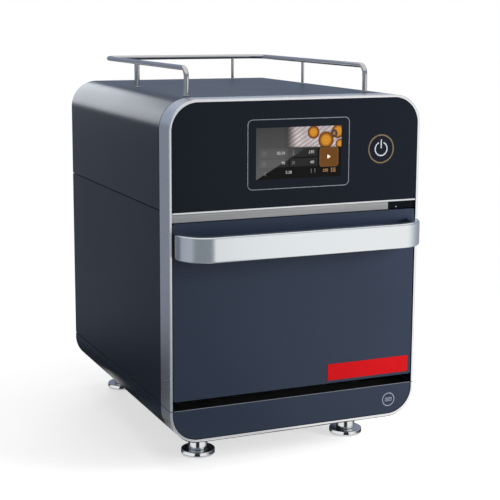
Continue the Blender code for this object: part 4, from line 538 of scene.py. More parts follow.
paint = paintMaterial("bluePaint", (0.0187, 0.0260, 0.0442), 0.31, 900.0, 0.10, 0.16)
# Near-black paint used as painted shade: the rings' inner faces and ends, the seam band, the strip under
# the lower ring and the plate on the lower cover's top.
shadeBlack = paintMaterial("bandBlack", (0.0025, 0.0028, 0.0032), 0.6, 900.0, 0.10, 0.08)
redPaint = paintMaterial("redEnamel", (0.385, 0.0042, 0.0066), 0.38, 1200.0, 0.04, 0.06)
blackPlastic = paintMaterial("blackPlastic", (0.018, 0.018, 0.020), 0.45)
rubber = paintMaterial("greySilicone", (0.075, 0.075, 0.080), 0.62, 700.0, 0.2)
boardGreen = paintMaterial("boardGreen", (0.015, 0.090, 0.045), 0.45)
ceramic = paintMaterial("catalystCeramic", (0.48, 0.44, 0.37), 0.85, 500.0, 0.5)
wool = paintMaterial("insulationWool", (0.55, 0.50, 0.40), 0.95, 260.0, 1.0)
ringMetal = metalMaterial("satinSilver", (0.87, 0.855, 0.86), 0.27, (60.0, 6.0, 60.0), 0.04, 0.0,
                          0.02, 0.01)
handleMetal = metalMaterial("satinAluminium", (0.76, 0.78, 0.795), 0.24, (5.0, 20.0, 500.0), 0.05,
                            0.004, 0.03, 0.01)
# Partly brushed grain, partly painted reflection: the raised contrast draws strong dark streaks along
# the vent strip.
stripMetal = metalMaterial("brushedStrip", (0.37, 0.37, 0.375), 0.33, (6.0, 330.0, 330.0), 1.1, 0.08)
railMetal = metalMaterial("railSteel", (0.57, 0.555, 0.545), 0.12, bump=0.01, patch=0.04, scratch=0.06)
chrome = metalMaterial("polishedSteel", (0.72, 0.73, 0.75), 0.13, bump=0.01, patch=0.04, scratch=0.06)
trimMetal = metalMaterial("trimSteel", (0.70, 0.71, 0.72), 0.22)
zinc = metalMaterial("zincSteel", (0.50, 0.52, 0.54), 0.42)
cavitySteel = metalMaterial("cavitySteel", (0.62, 0.61, 0.59), 0.30, (300.0, 6.0, 300.0), 0.25, 0.04)
panSteel = metalMaterial("doorPanSteel", (0.60, 0.60, 0.60), 0.30, (6.0, 500.0, 500.0), 0.25, 0.04)
castMetal = metalMaterial("castAluminium", (0.58, 0.58, 0.59), 0.5, bump=0.5)
sheath = metalMaterial("heaterSheath", (0.16, 0.13, 0.11), 0.5, bump=0.2)
filterMetal = metalMaterial("filterMesh", (0.30, 0.31, 0.32), 0.45, bump=0.4)
glass = glassMaterial("blackGlass", (0.0042, 0.0062, 0.0108), 0.09)
windowGlass = glassMaterial("windowGlass", (0.0016, 0.0026, 0.0045), 0.05)
outlineInk = printMaterial("outlineInk", (0.18, 0.193, 0.228))
copperInk = printMaterial("copperInk", (0.130, 0.097, 0.064))
whiteInk = printMaterial("whiteInk", (0.37, 0.39, 0.43))
paleInk = printMaterial("paleInk", (0.27, 0.285, 0.33))
print("materials built")


# Casing shells

def halfCover(side, middle, seam, flat, clears):
    # Half a cover's outline: fold at the seam, wall, large bend, and the flat to its middle.
    c = casing
    x, turn = side * c["half"], 1 if seam > flat else -1
    wallEnd, wallStart = [flat + turn * (c["radius"] + clear) for clear in clears]
    fold = filletLine([(x - side * c["fold"], seam), (x, seam), (x, wallEnd)],
                      [0, c["foldRadius"], 0], c["foldSteps"])
    bend = filletLine([(x, wallStart), (x, flat), (middle, flat)], [0, c["radius"], 0], c["steps"])
    return fold + bend


def coverPath(side, *values):
    return halfCover(side, 0, *values) + halfCover(-side, -side * casing["halfGap"], *values)[::-1]


def makeCasing():
    c = casing
    half, inner, gap, edge = c["half"], c["half"] - c["fold"], c["seamGap"] / 2, c["edge"]
    frontY, rearY, sheet, small = c["coversY"], c["rearY"], c["sheet"], c["foldRadius"]
    section = [(edge, frontY), (0, frontY + edge), (0, rearY - edge), (edge, rearY),
               (sheet, rearY), (sheet, frontY)]
    hood = coverPath(-1, c["highSeam"] + gap, c["top"], c["hoodClears"])
    piece = addPiece(sweepMesh("hoodCover", hood, section, upright), "casing", paint)
    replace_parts(piece, "top_cover")
    low, high = c["lowSeam"] + gap, c["highSeam"] - gap
    for name, sign in (("left", -1), ("right", 1)):
        path = filletLine([(sign * inner, low), (sign * half, low), (sign * half, high),
                           (sign * inner, high)], [0, small, small, 0], c["foldSteps"])
        mesh = sweepMesh(name + "Side", path, section, upright, -sign)
        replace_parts(addPiece(mesh, "casing", paint), name + "_side_panel")
    tray = coverPath(1, c["lowSeam"] - gap, c["underside"], c["trayClears"])
    piece = addPiece(sweepMesh("baseTray", tray, section, upright), "casing", paint)
    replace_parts(piece, "base_tray")


ring = {"lip": 0.004, "sheet": 0.0018, "edge": 0.0011, "innerEdge": 0.0003}


def makeRings():
    c, r = casing, ring
    front, rearY, gap = c["frontY"], c["ringRearY"], c["seamGap"] / 2
    edge, inner, lip, sheet = r["edge"], r["innerEdge"], r["lip"], r["sheet"]
    section = ([(inner, rearY), (0, rearY - inner)] + edgeArc(edge, front + edge, edge, 180, 270)
               + [(lip - inner, front), (lip, front + inner), (lip, front + sheet),
                  (sheet, front + sheet), (sheet, rearY)])
    # The inner faces and the ends take the near-black paint: painted shade in the gaps round the ring
    # and at its seam.
    inside = range(len(section) - 4, len(section) - 1)

    def addRing(name, side, foot, crown, body):
        path = archLine(c["half"], foot, crown, c["radius"], c["steps"], side)
        mesh = sweepMesh(name, path, section, upright, hiddenSides=inside, endFinish=1)
        piece = addPiece(mesh, body, ringMetal)
        mesh.materials.append(shadeBlack)
        return piece

    piece = addRing("frontRing", -1, c["lowSeam"] + gap, c["top"], "casing")
    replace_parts(piece, "front_frame")
    piece = addRing("lowerRing", 1, c["lowSeam"] - gap, c["underside"], "lower_cover")
    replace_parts(piece, "lower_frame")


seamBand = {
    "inset": 0.0008, "thickness": 0.0006, "frontY": -0.1974, "rearY": -0.1960,
    "backInset": 0.0019, "backFrontY": -0.2010, "backRearY": -0.1930, "backLow": 0.1012,
}


def makeSeamShadeBand():
    # Painted shade: a near-black band in the joint between the rings and the covers, backed above the
    # lower seam, where the gap under the door lies in shadow.
    c, b = casing, seamBand
    half, high, large, steps = c["half"], c["top"], c["radius"], c["steps"]
    loop = boxLine(-half, half, c["underside"], high, large, steps)
    arch = archLine(half, b["backLow"], high, large, steps)
    meshes = []
    for path, side, inset, frontY, rearY in (
            (loop, -1, b["inset"], b["frontY"], b["rearY"]),
            (arch, 1, b["backInset"], b["backFrontY"], b["backRearY"])):
        deep = inset + b["thickness"]
        section = [(inset, frontY), (inset, rearY), (deep, rearY), (deep, frontY)]
        meshes.append(sweepMesh("seamPart", path, section, upright, side, closed=path is loop))
    addPiece(joinMeshes("seamBand", meshes), "casing", shadeBlack)


ringFold = {
    "drop": 0.0008, "tuck": 0.0005, "reach": 0.018, "frontY": -0.2386, "rearY": -0.1990,
    "depth": 0.0012,
}


def makeRingShadeStrip():
    # Painted shade: a near-black strip under the lower ring's bottom edge, which runs out into the ring
    # up both corners.
    c, f = casing, ringFold
    line = archLine(c["half"], c["lowSeam"], c["underside"], c["radius"], c["steps"], 1)
    path = []
    for point, direction in zip(line, mitres(line, 1, False)):
        rise = (point.y - c["underside"]) / f["reach"]
        if rise <= 1:
            path.append(point + direction * ((f["drop"] + f["tuck"]) * rise - f["drop"]))
    section = [(0, f["frontY"]), (0, f["rearY"]), (f["depth"], f["rearY"]), (f["depth"], f["frontY"])]
    addPiece(sweepMesh("ringFold", path, section, upright), "lower_cover", shadeBlack)


lowerCover = {
    "half": 0.2057, "low": 0.0543, "high": 0.1025, "radius": 0.0417, "topRadius": 0.002,
    "frontY": -0.2385, "rearY": -0.2065, "edge": 0.001, "sheet": 0.0015, "shadeHalf": 0.2030,
    "shadeFrontY": -0.2374, "shadeRearY": -0.2070, "shadeHeight": 0.0006, "shadeEdge": 0.0002,
    "beadHalf": 0.2040, "beadLow": 0.1021, "beadHigh": 0.1028, "beadY": -0.2388,
    "beadThickness": 0.0008, "beadEdge": 0.0003,
}


def makeLowerCover():
    c = lowerCover
    large, small, edge, front = c["radius"], c["topRadius"], c["edge"], c["frontY"]
    outline = boxLine(-c["half"], c["half"], c["low"], c["high"], [large, large, small, small], 20)
    rings = edgeArc(edge, front + edge, edge, 270, 180, 3)
    rings += [(0, c["rearY"]), (c["sheet"], c["rearY"]), (c["sheet"], front + c["sheet"])]
    mesh = panMesh("lowerCover", outline, rings, -1)
    piece = addPiece(mesh, "lower_cover", paint)
    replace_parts(piece, "lower_front_cover")
    # Painted shade: a matt black plate on the cover's top, under the door, where the gap lies in shadow.
    shadePlate = boxLine(-c["shadeHalf"], c["shadeHalf"], c["shadeFrontY"], c["shadeRearY"])
    mesh = plateMesh("coverSeal", [shadePlate], c["high"], c["shadeHeight"], c["shadeEdge"], "z")
    addPiece(mesh, "lower_cover", shadeBlack)
    # Painted highlight: a light metal bead along the cover's top front edge stands in for the edge's
    # highlight line.
    highlightBead = boxLine(-c["beadHalf"], c["beadHalf"], c["beadLow"], c["beadHigh"], c["beadEdge"], 3)
    mesh = plateMesh("coverBead", [highlightBead], c["beadY"], c["beadThickness"], c["beadEdge"])
    addPiece(mesh, "lower_cover", zinc)


makeCasing()
makeRings()
makeSeamShadeBand()
makeRingShadeStrip()
makeLowerCover()
print("casing and rings built")


# Control panel

panel = {
    "half": 0.2057, "low": 0.4048, "high": 0.5657, "radius": 0.0417, "lowRadius": 0.0006,
    "frontY": -0.2387, "thickness": 0.004, "edge": 0.0005, "keyX": 0.1415, "keyZ": 0.486,
    "keyHole": 0.0204,
}


def makeGlass():
    p = panel
    radii = [p["lowRadius"], p["lowRadius"], p["radius"], p["radius"]]
    outline = boxLine(-p["half"], p["half"], p["low"], p["high"], radii, 20)
    hole = circleLine(p["keyX"], p["keyZ"], p["keyHole"], 64)
    mesh = plateMesh("controlGlass", [outline, hole], p["frontY"], p["thickness"], p["edge"])
    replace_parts(addPiece(mesh, "casing", glass), "control_glass")


# A printed mark stands this far off its face, and reaches this far into it
ink = {"proud": 0.00012, "sunk": 0.00006}


def inkPlate(name, loops, frontY, material, body="casing"):
    mesh = plateMesh(name, loops, frontY - ink["proud"], ink["proud"] + ink["sunk"])
    addPiece(mesh, body, material, weighted=False)


screenFrame = {
    "halfWidth": 0.0855, "low": 0.432, "high": 0.538, "line": 0.0010, "radius": 0.008,
    "lcdHalf": 0.0715, "lcdLow": 0.447, "lcdHigh": 0.525,
}


def makeScreenFrame():
    s = screenFrame
    loops = [boxLine(-s["halfWidth"] + inset, s["halfWidth"] - inset, s["low"] + inset,
                     s["high"] - inset, s["radius"] - inset, 10) for inset in (0.0, s["line"])]
    inkPlate("screenOutline", loops, panel["frontY"], outlineInk)


powerKey = {
    "radius": 0.0200, "edge": 0.0005, "depth": 0.0043, "flangeRadius": 0.0214,
    "flangeRear": 0.0053, "stemRadius": 0.003, "stemRear": 0.0065, "ringInner": 0.0206,
    "ringOuter": 0.0227, "iconRadius": 0.0105, "iconStroke": 0.0019, "iconGap": 27.0,
    "barTop": 0.0151, "barLow": 0.0020,
}


def arcBand(x, z, radius, stroke, startDegrees, endDegrees, steps=40):
    # A drawn arc with round ends.
    start, end = math.radians(startDegrees), math.radians(endDegrees)
    half = stroke / 2
    outer = circleLine(x, z, radius + half, steps, start, end, False)
    inner = circleLine(x, z, radius - half, steps, start, end, False)
    caps = [circleLine(*Vector(around(x, z, radius, angle)), half, 8, turn, turn + math.pi,
                       False)[1:-1]
            for angle, turn in ((end, end), (start, start + math.pi))]
    return outer + caps[0] + inner[::-1] + caps[1]


def barLine(x0, z0, x1, z1, width):
    # A drawn stroke with round ends.
    angle = math.atan2(z1 - z0, x1 - x0)
    half, quarter = width / 2, math.pi / 2
    return (circleLine(x1, z1, half, 8, angle - quarter, angle + quarter, False)
            + circleLine(x0, z0, half, 8, angle + quarter, angle + 3 * quarter, False))


def makePowerKey():
    k, p = powerKey, panel
    x, z, front = p["keyX"], p["keyZ"], p["frontY"]
    edge, radius, stroke = k["edge"], k["radius"], k["iconStroke"]
    # The face is domed by a few hundredths of a millimetre.
    profile = [(0, 0.0), (radius * 0.5, 0.00002), (radius - edge, 0.00005),
               (radius - edge * 0.3, edge * 0.35), (radius, edge), (radius, k["depth"]),
               (k["flangeRadius"], k["depth"]), (k["flangeRadius"], k["flangeRear"]),
               (k["stemRadius"], k["flangeRear"]), (k["stemRadius"], k["stemRear"]),
               (0, k["stemRear"])]
    mesh = turnedMesh("powerKey", profile, (x, front, z), "y", 64)
    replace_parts(addPiece(mesh, "power_key", glass), "power_button")
    loops = [circleLine(x, z, k["ringOuter"], 72), circleLine(x, z, k["ringInner"], 72)]
    inkPlate("powerRing", loops, front, copperInk)
    icon = arcBand(x, z, k["iconRadius"], stroke, 90 + k["iconGap"], 450 - k["iconGap"])
    inkPlate("powerArc", [icon], front, whiteInk, "power_key")
    bar = barLine(x, z + k["barLow"], x, z + k["barTop"] - stroke / 2, stroke)
    inkPlate("powerBar", [bar], front, whiteInk, "power_key")


makeGlass()
makeScreenFrame()
makePowerKey()
print("control panel built")


# The screen's picture: generic food tones, tiles, plain numbers

screenPicture = {
    "black": (0.0040, 0.0034, 0.0032), "tile": (0.019, 0.019, 0.020), "key": (0.150, 0.058, 0.011),
    "keyEdge": (0.21, 0.105, 0.040), "paintedGlare": 0.058, "glow": 1.0,
    "cloth": [(0.40, 0.30, 0.28), (0.68, 0.64, 0.65), (0.34, 0.30, 0.33)],
    "crust": [(0.72, 0.30, 0.025), (0.17, 0.050, 0.008), (0.07, 0.022, 0.006)],
    "rounds": [(0.665, 0.115, 0.070), (0.960, 0.110, 0.078), (0.815, 0.275, 0.092),
               (0.985, 0.360, 0.055)],
    "tiles": [(0.034, 0.375, 0.41, 0.585), (0.39, 0.714, 0.41, 0.585),
              (0.034, 0.375, 0.61, 0.77), (0.39, 0.714, 0.61, 0.77)],
    "start": (0.741, 0.966, 0.42, 0.80), "startEdge": 0.007, "startCorner": 0.03,
}


def mixColour(tree, factor, first, second):
    ends = [(*end, 1.0) if isinstance(end, tuple) else end for end in (first, second)]
    return addNode(tree, "Mix", {0: factor, 6: ends[0], 7: ends[1]}, data_type="RGBA").outputs[2]


def makeScreenMaterial():
    s, p = screenFrame, screenPicture
    material, tree, shader = newMaterial("screenPicture", (0.003, 0.003, 0.003), 0.12, 0.0, 0.03)
    coords = objectCoords(tree)
    split = addNode(tree, "SeparateXYZ", {0: coords})
    u = mapRange(tree, split.outputs["X"], -s["lcdHalf"], s["lcdHalf"])
    v = mapRange(tree, split.outputs["Z"], s["lcdHigh"], s["lcdLow"])
    # Golden rounds on pale striped cloth, in the upper right.
    turned = addNode(tree, "Mapping", {"Vector": coords, "Rotation": (0.0, math.radians(34), 0.0)})
    ripple = addNode(tree, "TexWave", {"Vector": turned.outputs[0], "Scale": 55.0, "Distortion": 3.2,
                                       "Detail": 2.0, "Detail Scale": 0.5}, bands_direction="Z")
    colour = mixColour(tree, ripple.outputs["Fac"], *p["cloth"][:2])
    shade = mapRange(tree, noise(tree, coords, 55.0, 2.0)["Fac"], 0.40, 0.62, 0.0, 0.55)
    colour = mixColour(tree, shade, colour, p["cloth"][2])
    for left, top, radius in p["rounds"]:
        disc = useGroup(tree, roundGroup, U=u, V=v, Left=left, Top=top, Radius=radius)
        rim = mapRange(tree, disc["Depth"], 0.30, 0.95, smooth=True)
        crust = mixColour(tree, rim, *p["crust"][:2])
        swirl = mapRange(tree, mathNode(tree, "PINGPONG", disc["Depth"], 0.27), 0.19, 0.25)
        crust = mixColour(tree, mathNode(tree, "MULTIPLY", swirl, 0.35), crust, p["crust"][2])
        colour = mixColour(tree, disc["Mask"], colour, crust)
    across = mapRange(tree, u, 0.35, 0.50, smooth=True)
    down = mapRange(tree, mathNode(tree, "MULTIPLY_ADD", u, -0.05, v), 0.385, 0.345, smooth=True)
    colour = mixColour(tree, mathNode(tree, "MULTIPLY", across, down), p["black"], colour)

    def overTile(under, box, inset, corner, tone):
        left, right, top, bottom = box
        mask = useGroup(tree, tileGroup, U=u, V=v, Left=left + inset, Right=right - inset,
                        Top=top + inset, Bottom=bottom - inset, Corner=corner)["Mask"]
        return mixColour(tree, mask, under, tone)

    for box in p["tiles"]:
        colour = overTile(colour, box, 0.0, 0.008, p["tile"])
    # Painted glare: a diagonal reflection of light over the upper left half, stronger towards the
    # bottom.
    paintedGlare = mapRange(tree, mathNode(tree, "ADD", u, v), 1.004, 0.996)
    fade = mapRange(tree, u, 0.62, 0.30)
    strength = mapRange(tree, v, 0.0, 1.0, p["paintedGlare"] * 0.8, p["paintedGlare"] * 1.7)
    lift = mathNode(tree, "MULTIPLY", mathNode(tree, "MULTIPLY", paintedGlare, fade), strength)
    colour = vectorNode(tree, "ADD", {0: colour, 1: lift})
    for inset, tone in ((0.0, p["keyEdge"]), (p["startEdge"], p["key"])):
        colour = overTile(colour, p["start"], inset, p["startCorner"] - inset, tone)
    connect(tree, shader, Emission_Color=colour)
    shader.inputs["Emission Strength"].default_value = p["glow"]
    return material


# Places on the screen are (across, down) from its upper left corner, from 0 to 1
screenInks = {
    "screenPale": ((0.26, 0.26, 0.26), 0.8), "screenDim": ((0.10, 0.10, 0.10), 0.8),
    "screenAmber": ((0.26, 0.135, 0.055), 0.9), "screenCream": ((0.62, 0.46, 0.34), 0.9),
    "screenBrown": ((0.035, 0.022, 0.015), 0.9),
}
screenMarks = {
    "thickness": 0.00005, "textHeight": 0.0062, "faceDepth": 0.00010, "faceSunk": 0.00005,
    "faceCorner": 0.0004, "markCorner": 0.0004,
    # Each piece with its ink, its layer and its shapes. Lengths are from the shape's place: strokes
    # have a width and their ends, rings have radii, steps and a rise, and a plate has its corners.
    "pieces": [
        ("screenNumbers", "screenPale", 1, [
            ("number", (0.335, 0.50), "02:30"), ("number", (0.675, 0.50), "230"),
            ("number", (0.335, 0.695), "90"), ("number", (0.675, 0.695), "60"),
            ("number", (0.415, 0.88), "5:28")]),
        ("screenWarmMarks", "screenAmber", 1, [
            ("number", (0.845, 0.875), "250"),
            ("strokes", (0.885, 0.87),
             (0.0009, [(x, -0.0030, x, 0.0030) for x in (0, 0.0030, 0.0060)]))]),
        ("screenIcons", "screenDim", 1, [
            ("rings", (0.093, 0.50), ((0.0033, 0.0028), 20, 0)),
            ("strokes", (0.093, 0.50), (0.0005, [(0, 0, 0, 0.0020)])),
            ("rings", (0.433, 0.50), ([0.0013], 16, -0.0020)),
            ("strokes", (0.433, 0.50), (0.0007, [(0, -0.0020, 0, 0.0034)])),
            ("strokes", (0.093, 0.695),
             (0.0005, [(-0.0032, z, 0.0032, z) for z in (-0.0020, 0, 0.0020)])),
            ("strokes", (0.433, 0.695),
             (0.0008, [(0, 0, *around(0, 0, 0.0030, math.radians(45 + 90 * i))) for i in range(4)]))]),
        ("screenFaintMarks", "screenDim", 1, [
            ("strokes", (0.093, 0.885), (0.0008, [(0, 0, 0.0030, z) for z in (0.0030, -0.0030)])),
            ("strokes", (0.665, 0.87),
             (0.0008, [(x, -0.0030, x, 0.0030) for x in (-0.0030, 0.0030)]))]),
        ("startMark", "screenCream", 1, [
            ("plate", (0.852, 0.605), [(-0.0024, -0.0032), (0.0034, 0), (-0.0024, 0.0032)])]),
        ("closeDisc", "screenBrown", 1, [("rings", (0.91, 0.15), ([0.0062], 32, 0))]),
        ("closeCross", "screenAmber", 2, [
            ("strokes", (0.91, 0.15), (0.0007, [(-0.0019, -z, 0.0019, z) for z in (0.0019, -0.0019)]))]),
    ],
}


def numberMesh(text, x, z, frontY):
    m = screenMarks
    curve = bpy.data.curves.new("numberText", "FONT")
    curve.body = text
    curve.size = m["textHeight"]
    curve.align_x = "RIGHT"
    curve.align_y = "CENTER"
    mesh = curveMesh(curve)
    bm = bmesh.new()
    bm.from_mesh(mesh)
    for vertex in bm.verts:
        vertex.co = (x + vertex.co.x, frontY, z + vertex.co.y)
    bmesh.ops.remove_doubles(bm, verts=bm.verts, dist=1e-7)
    raised = bmesh.ops.extrude_face_region(bm, geom=bm.faces[:])
    for item in raised["geom"]:
        if isinstance(item, bmesh.types.BMVert):
            item.co.y -= m["thickness"]
    bmesh.ops.recalc_face_normals(bm, faces=bm.faces)
    bm.to_mesh(mesh)
    bm.free()
    return mesh


def markMeshes(kind, place, values, faceY, layer):
    s, m = screenFrame, screenMarks
    x = -s["lcdHalf"] + 2 * s["lcdHalf"] * place[0]
    z = s["lcdHigh"] - (s["lcdHigh"] - s["lcdLow"]) * place[1]
    if kind == "number":
        return [numberMesh(values, x, z, faceY)]
    if kind == "strokes":
        width, ends = values
        shapes = [[barLine(x + a, z + b, x + c, z + d, width)] for a, b, c, d in ends]
    elif kind == "rings":
        radii, steps, rise = values
        shapes = [[circleLine(x, z + rise, radius, steps) for radius in radii]]
    else:
        corners = [(x + a, z + b) for a, b in values]
        shapes = [[filletLine(corners, m["markCorner"], 3, True)]]
    thick = m["thickness"]
    return [plateMesh("mark", loops, faceY - layer * thick, thick) for loops in shapes]


def makeScreen():
    s, m = screenFrame, screenMarks
    faceY = panel["frontY"] - m["faceDepth"]
    face = boxLine(-s["lcdHalf"], s["lcdHalf"], s["lcdLow"], s["lcdHigh"], m["faceCorner"], 3)
    mesh = plateMesh("screenFace", [face], faceY, m["faceDepth"] + m["faceSunk"])
    addPiece(mesh, "casing", makeScreenMaterial(), weighted=False)
    inks = {name: printMaterial(name, *values) for name, values in screenInks.items()}
    for name, inkName, layer, shapes in m["pieces"]:
        meshes = []
        for shape in shapes:
            meshes += markMeshes(*shape, faceY, layer)
        addPiece(joinMeshes(name, meshes), "casing", inks[inkName], weighted=False)


makeScreen()
print("screen built")


# Red plate and printed marks

marks = {
    "dotX": 0.172, "dotZ": 0.393, "dotRadius": 0.0009, "stripFrontY": -0.2365,
    "plateLeft": 0.0535, "plateRight": 0.198, "plateLow": 0.1215, "plateHigh": 0.148,
    "plateThickness": 0.0007, "plateGap": 0.00005, "plateEdge": 0.0002, "plateCorner": 0.0004,
    "doorFrontY": -0.2385, "portX": 0.165, "portZ": 0.0776, "portRadius": 0.0105,
    "portStroke": 0.0011, "coverFrontY": -0.2385,
    # Half width, half height and corner radius
    "socket": [(0.0060, 0.0028, 0.0010), (0.0052, 0.0020, 0.0005)],
    "tongueHalf": 0.0036, "tongueLow": -0.0002, "tongueHigh": 0.0007,
}


def makeMarks():
    m = marks
    inkPlate("sensorDot", [circleLine(m["dotX"], m["dotZ"], m["dotRadius"], 16)], m["stripFrontY"],
             whiteInk)
    plate = boxLine(m["plateLeft"], m["plateRight"], m["plateLow"], m["plateHigh"],
                    m["plateCorner"], 3)
    mesh = plateMesh("redPlate", [plate], m["doorFrontY"] - m["plateThickness"],
                     m["plateThickness"] - m["plateGap"], m["plateEdge"])
    addPiece(mesh, "door", redPaint)
    x, z, front = m["portX"], m["portZ"], m["coverFrontY"]
    loops = [circleLine(x, z, m["portRadius"] + sign * m["portStroke"] / 2, 56) for sign in (1, -1)]
    inkPlate("portRing", loops, front, paleInk, "lower_cover")
    socket = [boxLine(x - wide, x + wide, z - high, z + high, corner, 4)
              for wide, high, corner in m["socket"]]
    inkPlate("portOutline", socket, front, paleInk, "lower_cover")
    tongue = boxLine(x - m["tongueHalf"], x + m["tongueHalf"], z + m["tongueLow"],
                     z + m["tongueHigh"], 0.0002, 2)
    inkPlate("portTongue", [tongue], front, paleInk, "lower_cover")


makeMarks()
print("marks built")


# Door handle

handle = {
    "half": 0.2035, "seatY": -0.2388, "frontY": -0.2915, "radius": 0.047, "thickness": 0.014,
    "low": 0.336, "high": 0.3745, "edge": 0.0032, "steps": 24,
}


def makeHandle():
    h = handle
    path = archLine(h["half"], h["seatY"], h["frontY"], h["radius"], h["steps"])
    section = [(p.x, p.y) for p in boxLine(0, h["thickness"], h["low"], h["high"], h["edge"], 5)]
    mesh = sweepMesh("doorHandle", path, section, level, -1)
    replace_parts(addPiece(mesh, "door", handleMetal), "door_handle")


makeHandle()
print("handle built")


# Feet

feet = {
    "padRadius": 0.027, "padHeight": 0.0095, "padEdge": 0.0012, "sleeveRadius": 0.0153,
    "sleeveLow": 0.0098, "sleeveHigh": 0.0497, "sleeveEdge": 0.0006, "studRadius": 0.006,
    "studHigh": 0.0395, "boreRadius": 0.0066, "boreDepth": 0.034,
}
footPlaces = [("front_left", -0.1325, -0.1535), ("front_right", 0.1325, -0.1535),
              ("rear_left", -0.1325, 0.2365), ("rear_right", 0.1325, 0.2365)]


def discRim(radius, low, high, edge):
    inner = radius - edge
    return edgeArc(inner, high - edge, edge, 90, 0) + edgeArc(inner, low + edge, edge, 0, -90)


def makeFeet():
    f = feet
    low, high, boreTop = f["sleeveLow"], f["sleeveHigh"], f["sleeveLow"] + f["boreDepth"]
    pad = ([(0, f["studHigh"]), (f["studRadius"], f["studHigh"]), (f["studRadius"], f["padHeight"])]
           + discRim(f["padRadius"], 0, f["padHeight"], f["padEdge"]) + [(0, 0)])
    sleeve = ([(0, high)] + discRim(f["sleeveRadius"], low, high, f["sleeveEdge"])
              + [(f["boreRadius"], low), (f["boreRadius"], boreTop), (0, boreTop)])
    for place, x, y in footPlaces:
        mesh = turnedMesh("footPad_" + place, pad, (x, y, 0), "z", 64)
        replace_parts(addPiece(mesh, "foot_" + place, chrome), "foot_pad_" + place)
        mesh = turnedMesh("footSleeve_" + place, sleeve, (x, y, 0), "z", 56)
        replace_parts(addPiece(mesh, "casing", chrome), "foot_sleeve_" + place)


makeFeet()
print("feet built")


# Gallery rail

rail = {
    "x": 0.1528, "frontY": -0.1605, "rearY": 0.2515, "middleY": 0.0675, "rearPostX": 0.0955,
    "seat": 0.5703, "high": 0.6117, "radius": 0.0040, "bend": 0.014, "rearBend": 0.026,
    "postRadius": 0.0026, "postTop": 0.002, "baseSpread": 0.0016, "baseHeight": 0.0012,
    "baseBite": 0.0003, "baseEdge": 0.0005,
}


def makeRail():
    r = rail
    x, frontY, rearY, seat, high = r["x"], r["frontY"], r["rearY"], r["seat"], r["high"]
    corners = [(-x, frontY, seat), (-x, frontY, high), (-x, rearY, high), (x, rearY, high),
               (x, frontY, high), (x, frontY, seat)]
    bends = [0, r["bend"], r["rearBend"], r["rearBend"], r["bend"], 0]
    mesh = tubeMesh("railTube", filletLine(corners, bends, 12), r["radius"], 24)
    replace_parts(addPiece(mesh, "casing", railMetal), "top_rail")

    def addTurned(name, profile, place, steps):
        mesh = turnedMesh(name, profile, (*place, 0), "z", steps)
        addPiece(mesh, "casing", railMetal)

    posts = [(-x, r["middleY"]), (x, r["middleY"]), (-r["rearPostX"], rearY), (r["rearPostX"], rearY)]
    top = high - r["postTop"]
    profile = [(0, top), (r["postRadius"], top), (r["postRadius"], seat), (0, seat)]
    for i, place in enumerate(posts):
        addTurned("railPost%d" % (i + 1), profile, place, 24)
    top, edge = seat + r["baseHeight"], r["baseEdge"]
    for i, place in enumerate(posts + [(-x, frontY), (x, frontY)]):
        hole = (r["postRadius"] if i < len(posts) else r["radius"]) - r["baseBite"]
        rim = hole + r["baseSpread"]
        profile = ([(hole, seat), (rim, seat)] + edgeArc(rim - edge, top - edge, edge, 0, 90)
                   + [(hole, top), (hole, seat)])
        addTurned("railBase%d" % (i + 1), profile, place, 32)


makeRail()
print("rail built")


# Rear: gland, screws, bare plate, earth stud

rear = {
    "panelY": 0.2735, "halfX": 0.186, "sideZ": (0.110, 0.260, 0.400, 0.520), "endX": 0.120,
    "endZ": (0.066, 0.552), "screwRadius": 0.0035, "plateX": (-0.175, -0.105),
    "plateZ": (0.330, 0.372), "plateCorner": 0.002, "plateThickness": 0.0006, "plateEdge": 0.0002,
    "rivetX": (-0.171, -0.109), "rivetZ": (0.334, 0.368), "rivetRadius": 0.0014,
    "studX": -0.165, "studZ": 0.410,
    "stud": [(0, 0.011), (0.0022, 0.011), (0.0026, 0.0105), (0.0026, 0.0048), (0.0050, 0.0048),
             (0.0050, 0.0016), (0.0066, 0.0016), (0.0066, 0.0), (0, 0.0)],
}
# Depths run back from the panel's outer face
gland = {
    "x": -0.140, "z": 0.450, "nutRadius": 0.0150, "nutHole": 0.0094, "nutStarts": (0.0003, -0.0078),
    "nutDepth": 0.006, "nutEdge": 0.0004, "ribs": 16, "ribCircle": 0.0119, "ribRadius": 0.0007,
    "ribStart": 0.0068, "ribDepth": 0.0080, "ribEdge": 0.0003,
    "body": [(0.0055, 0.018), (0.0098, 0.018), (0.0112, 0.0170), (0.0120, 0.0150),
             (0.0120, 0.0066), (0.0096, 0.0062), (0.0096, -0.0118), (0.0055, -0.0118),
             (0.0055, 0.018)],
}


def glandMesh():
    g, y = gland, rear["panelY"]
    x, z = g["x"], g["z"]
    nut = [circleLine(x, z, g["nutRadius"], 6), circleLine(x, z, g["nutHole"], 40)]
    parts = [plateMesh("glandNut", nut, y + start, g["nutDepth"], g["nutEdge"])
             for start in g["nutStarts"]]
    parts.append(turnedMesh("glandBody", g["body"], (x, y, z), "y", 48))
    for i in range(g["ribs"]):
        middle = around(x, z, g["ribCircle"], 2 * math.pi * i / g["ribs"])
        rib = circleLine(*middle, g["ribRadius"], 8)
        parts.append(plateMesh("glandRib", [rib], y + g["ribStart"], g["ribDepth"], g["ribEdge"]))
    return joinMeshes("cableGland", parts)


def addScrews(name, places, radius):
    # Pan heads with a round socket, by shares of the radius.
    high, socket = radius * 0.62, radius * 0.42
    profile = [(0, high * 0.35), (socket, high * 0.35), (socket, high * 0.98),
               (radius * 0.62, high), (radius * 0.88, high * 0.72), (radius, high * 0.25),
               (radius, 0), (0, 0)]
    meshes = [turnedMesh("screw", profile, place, "y", 24) for place in places]
    addPiece(joinMeshes(name, meshes), "casing", zinc)


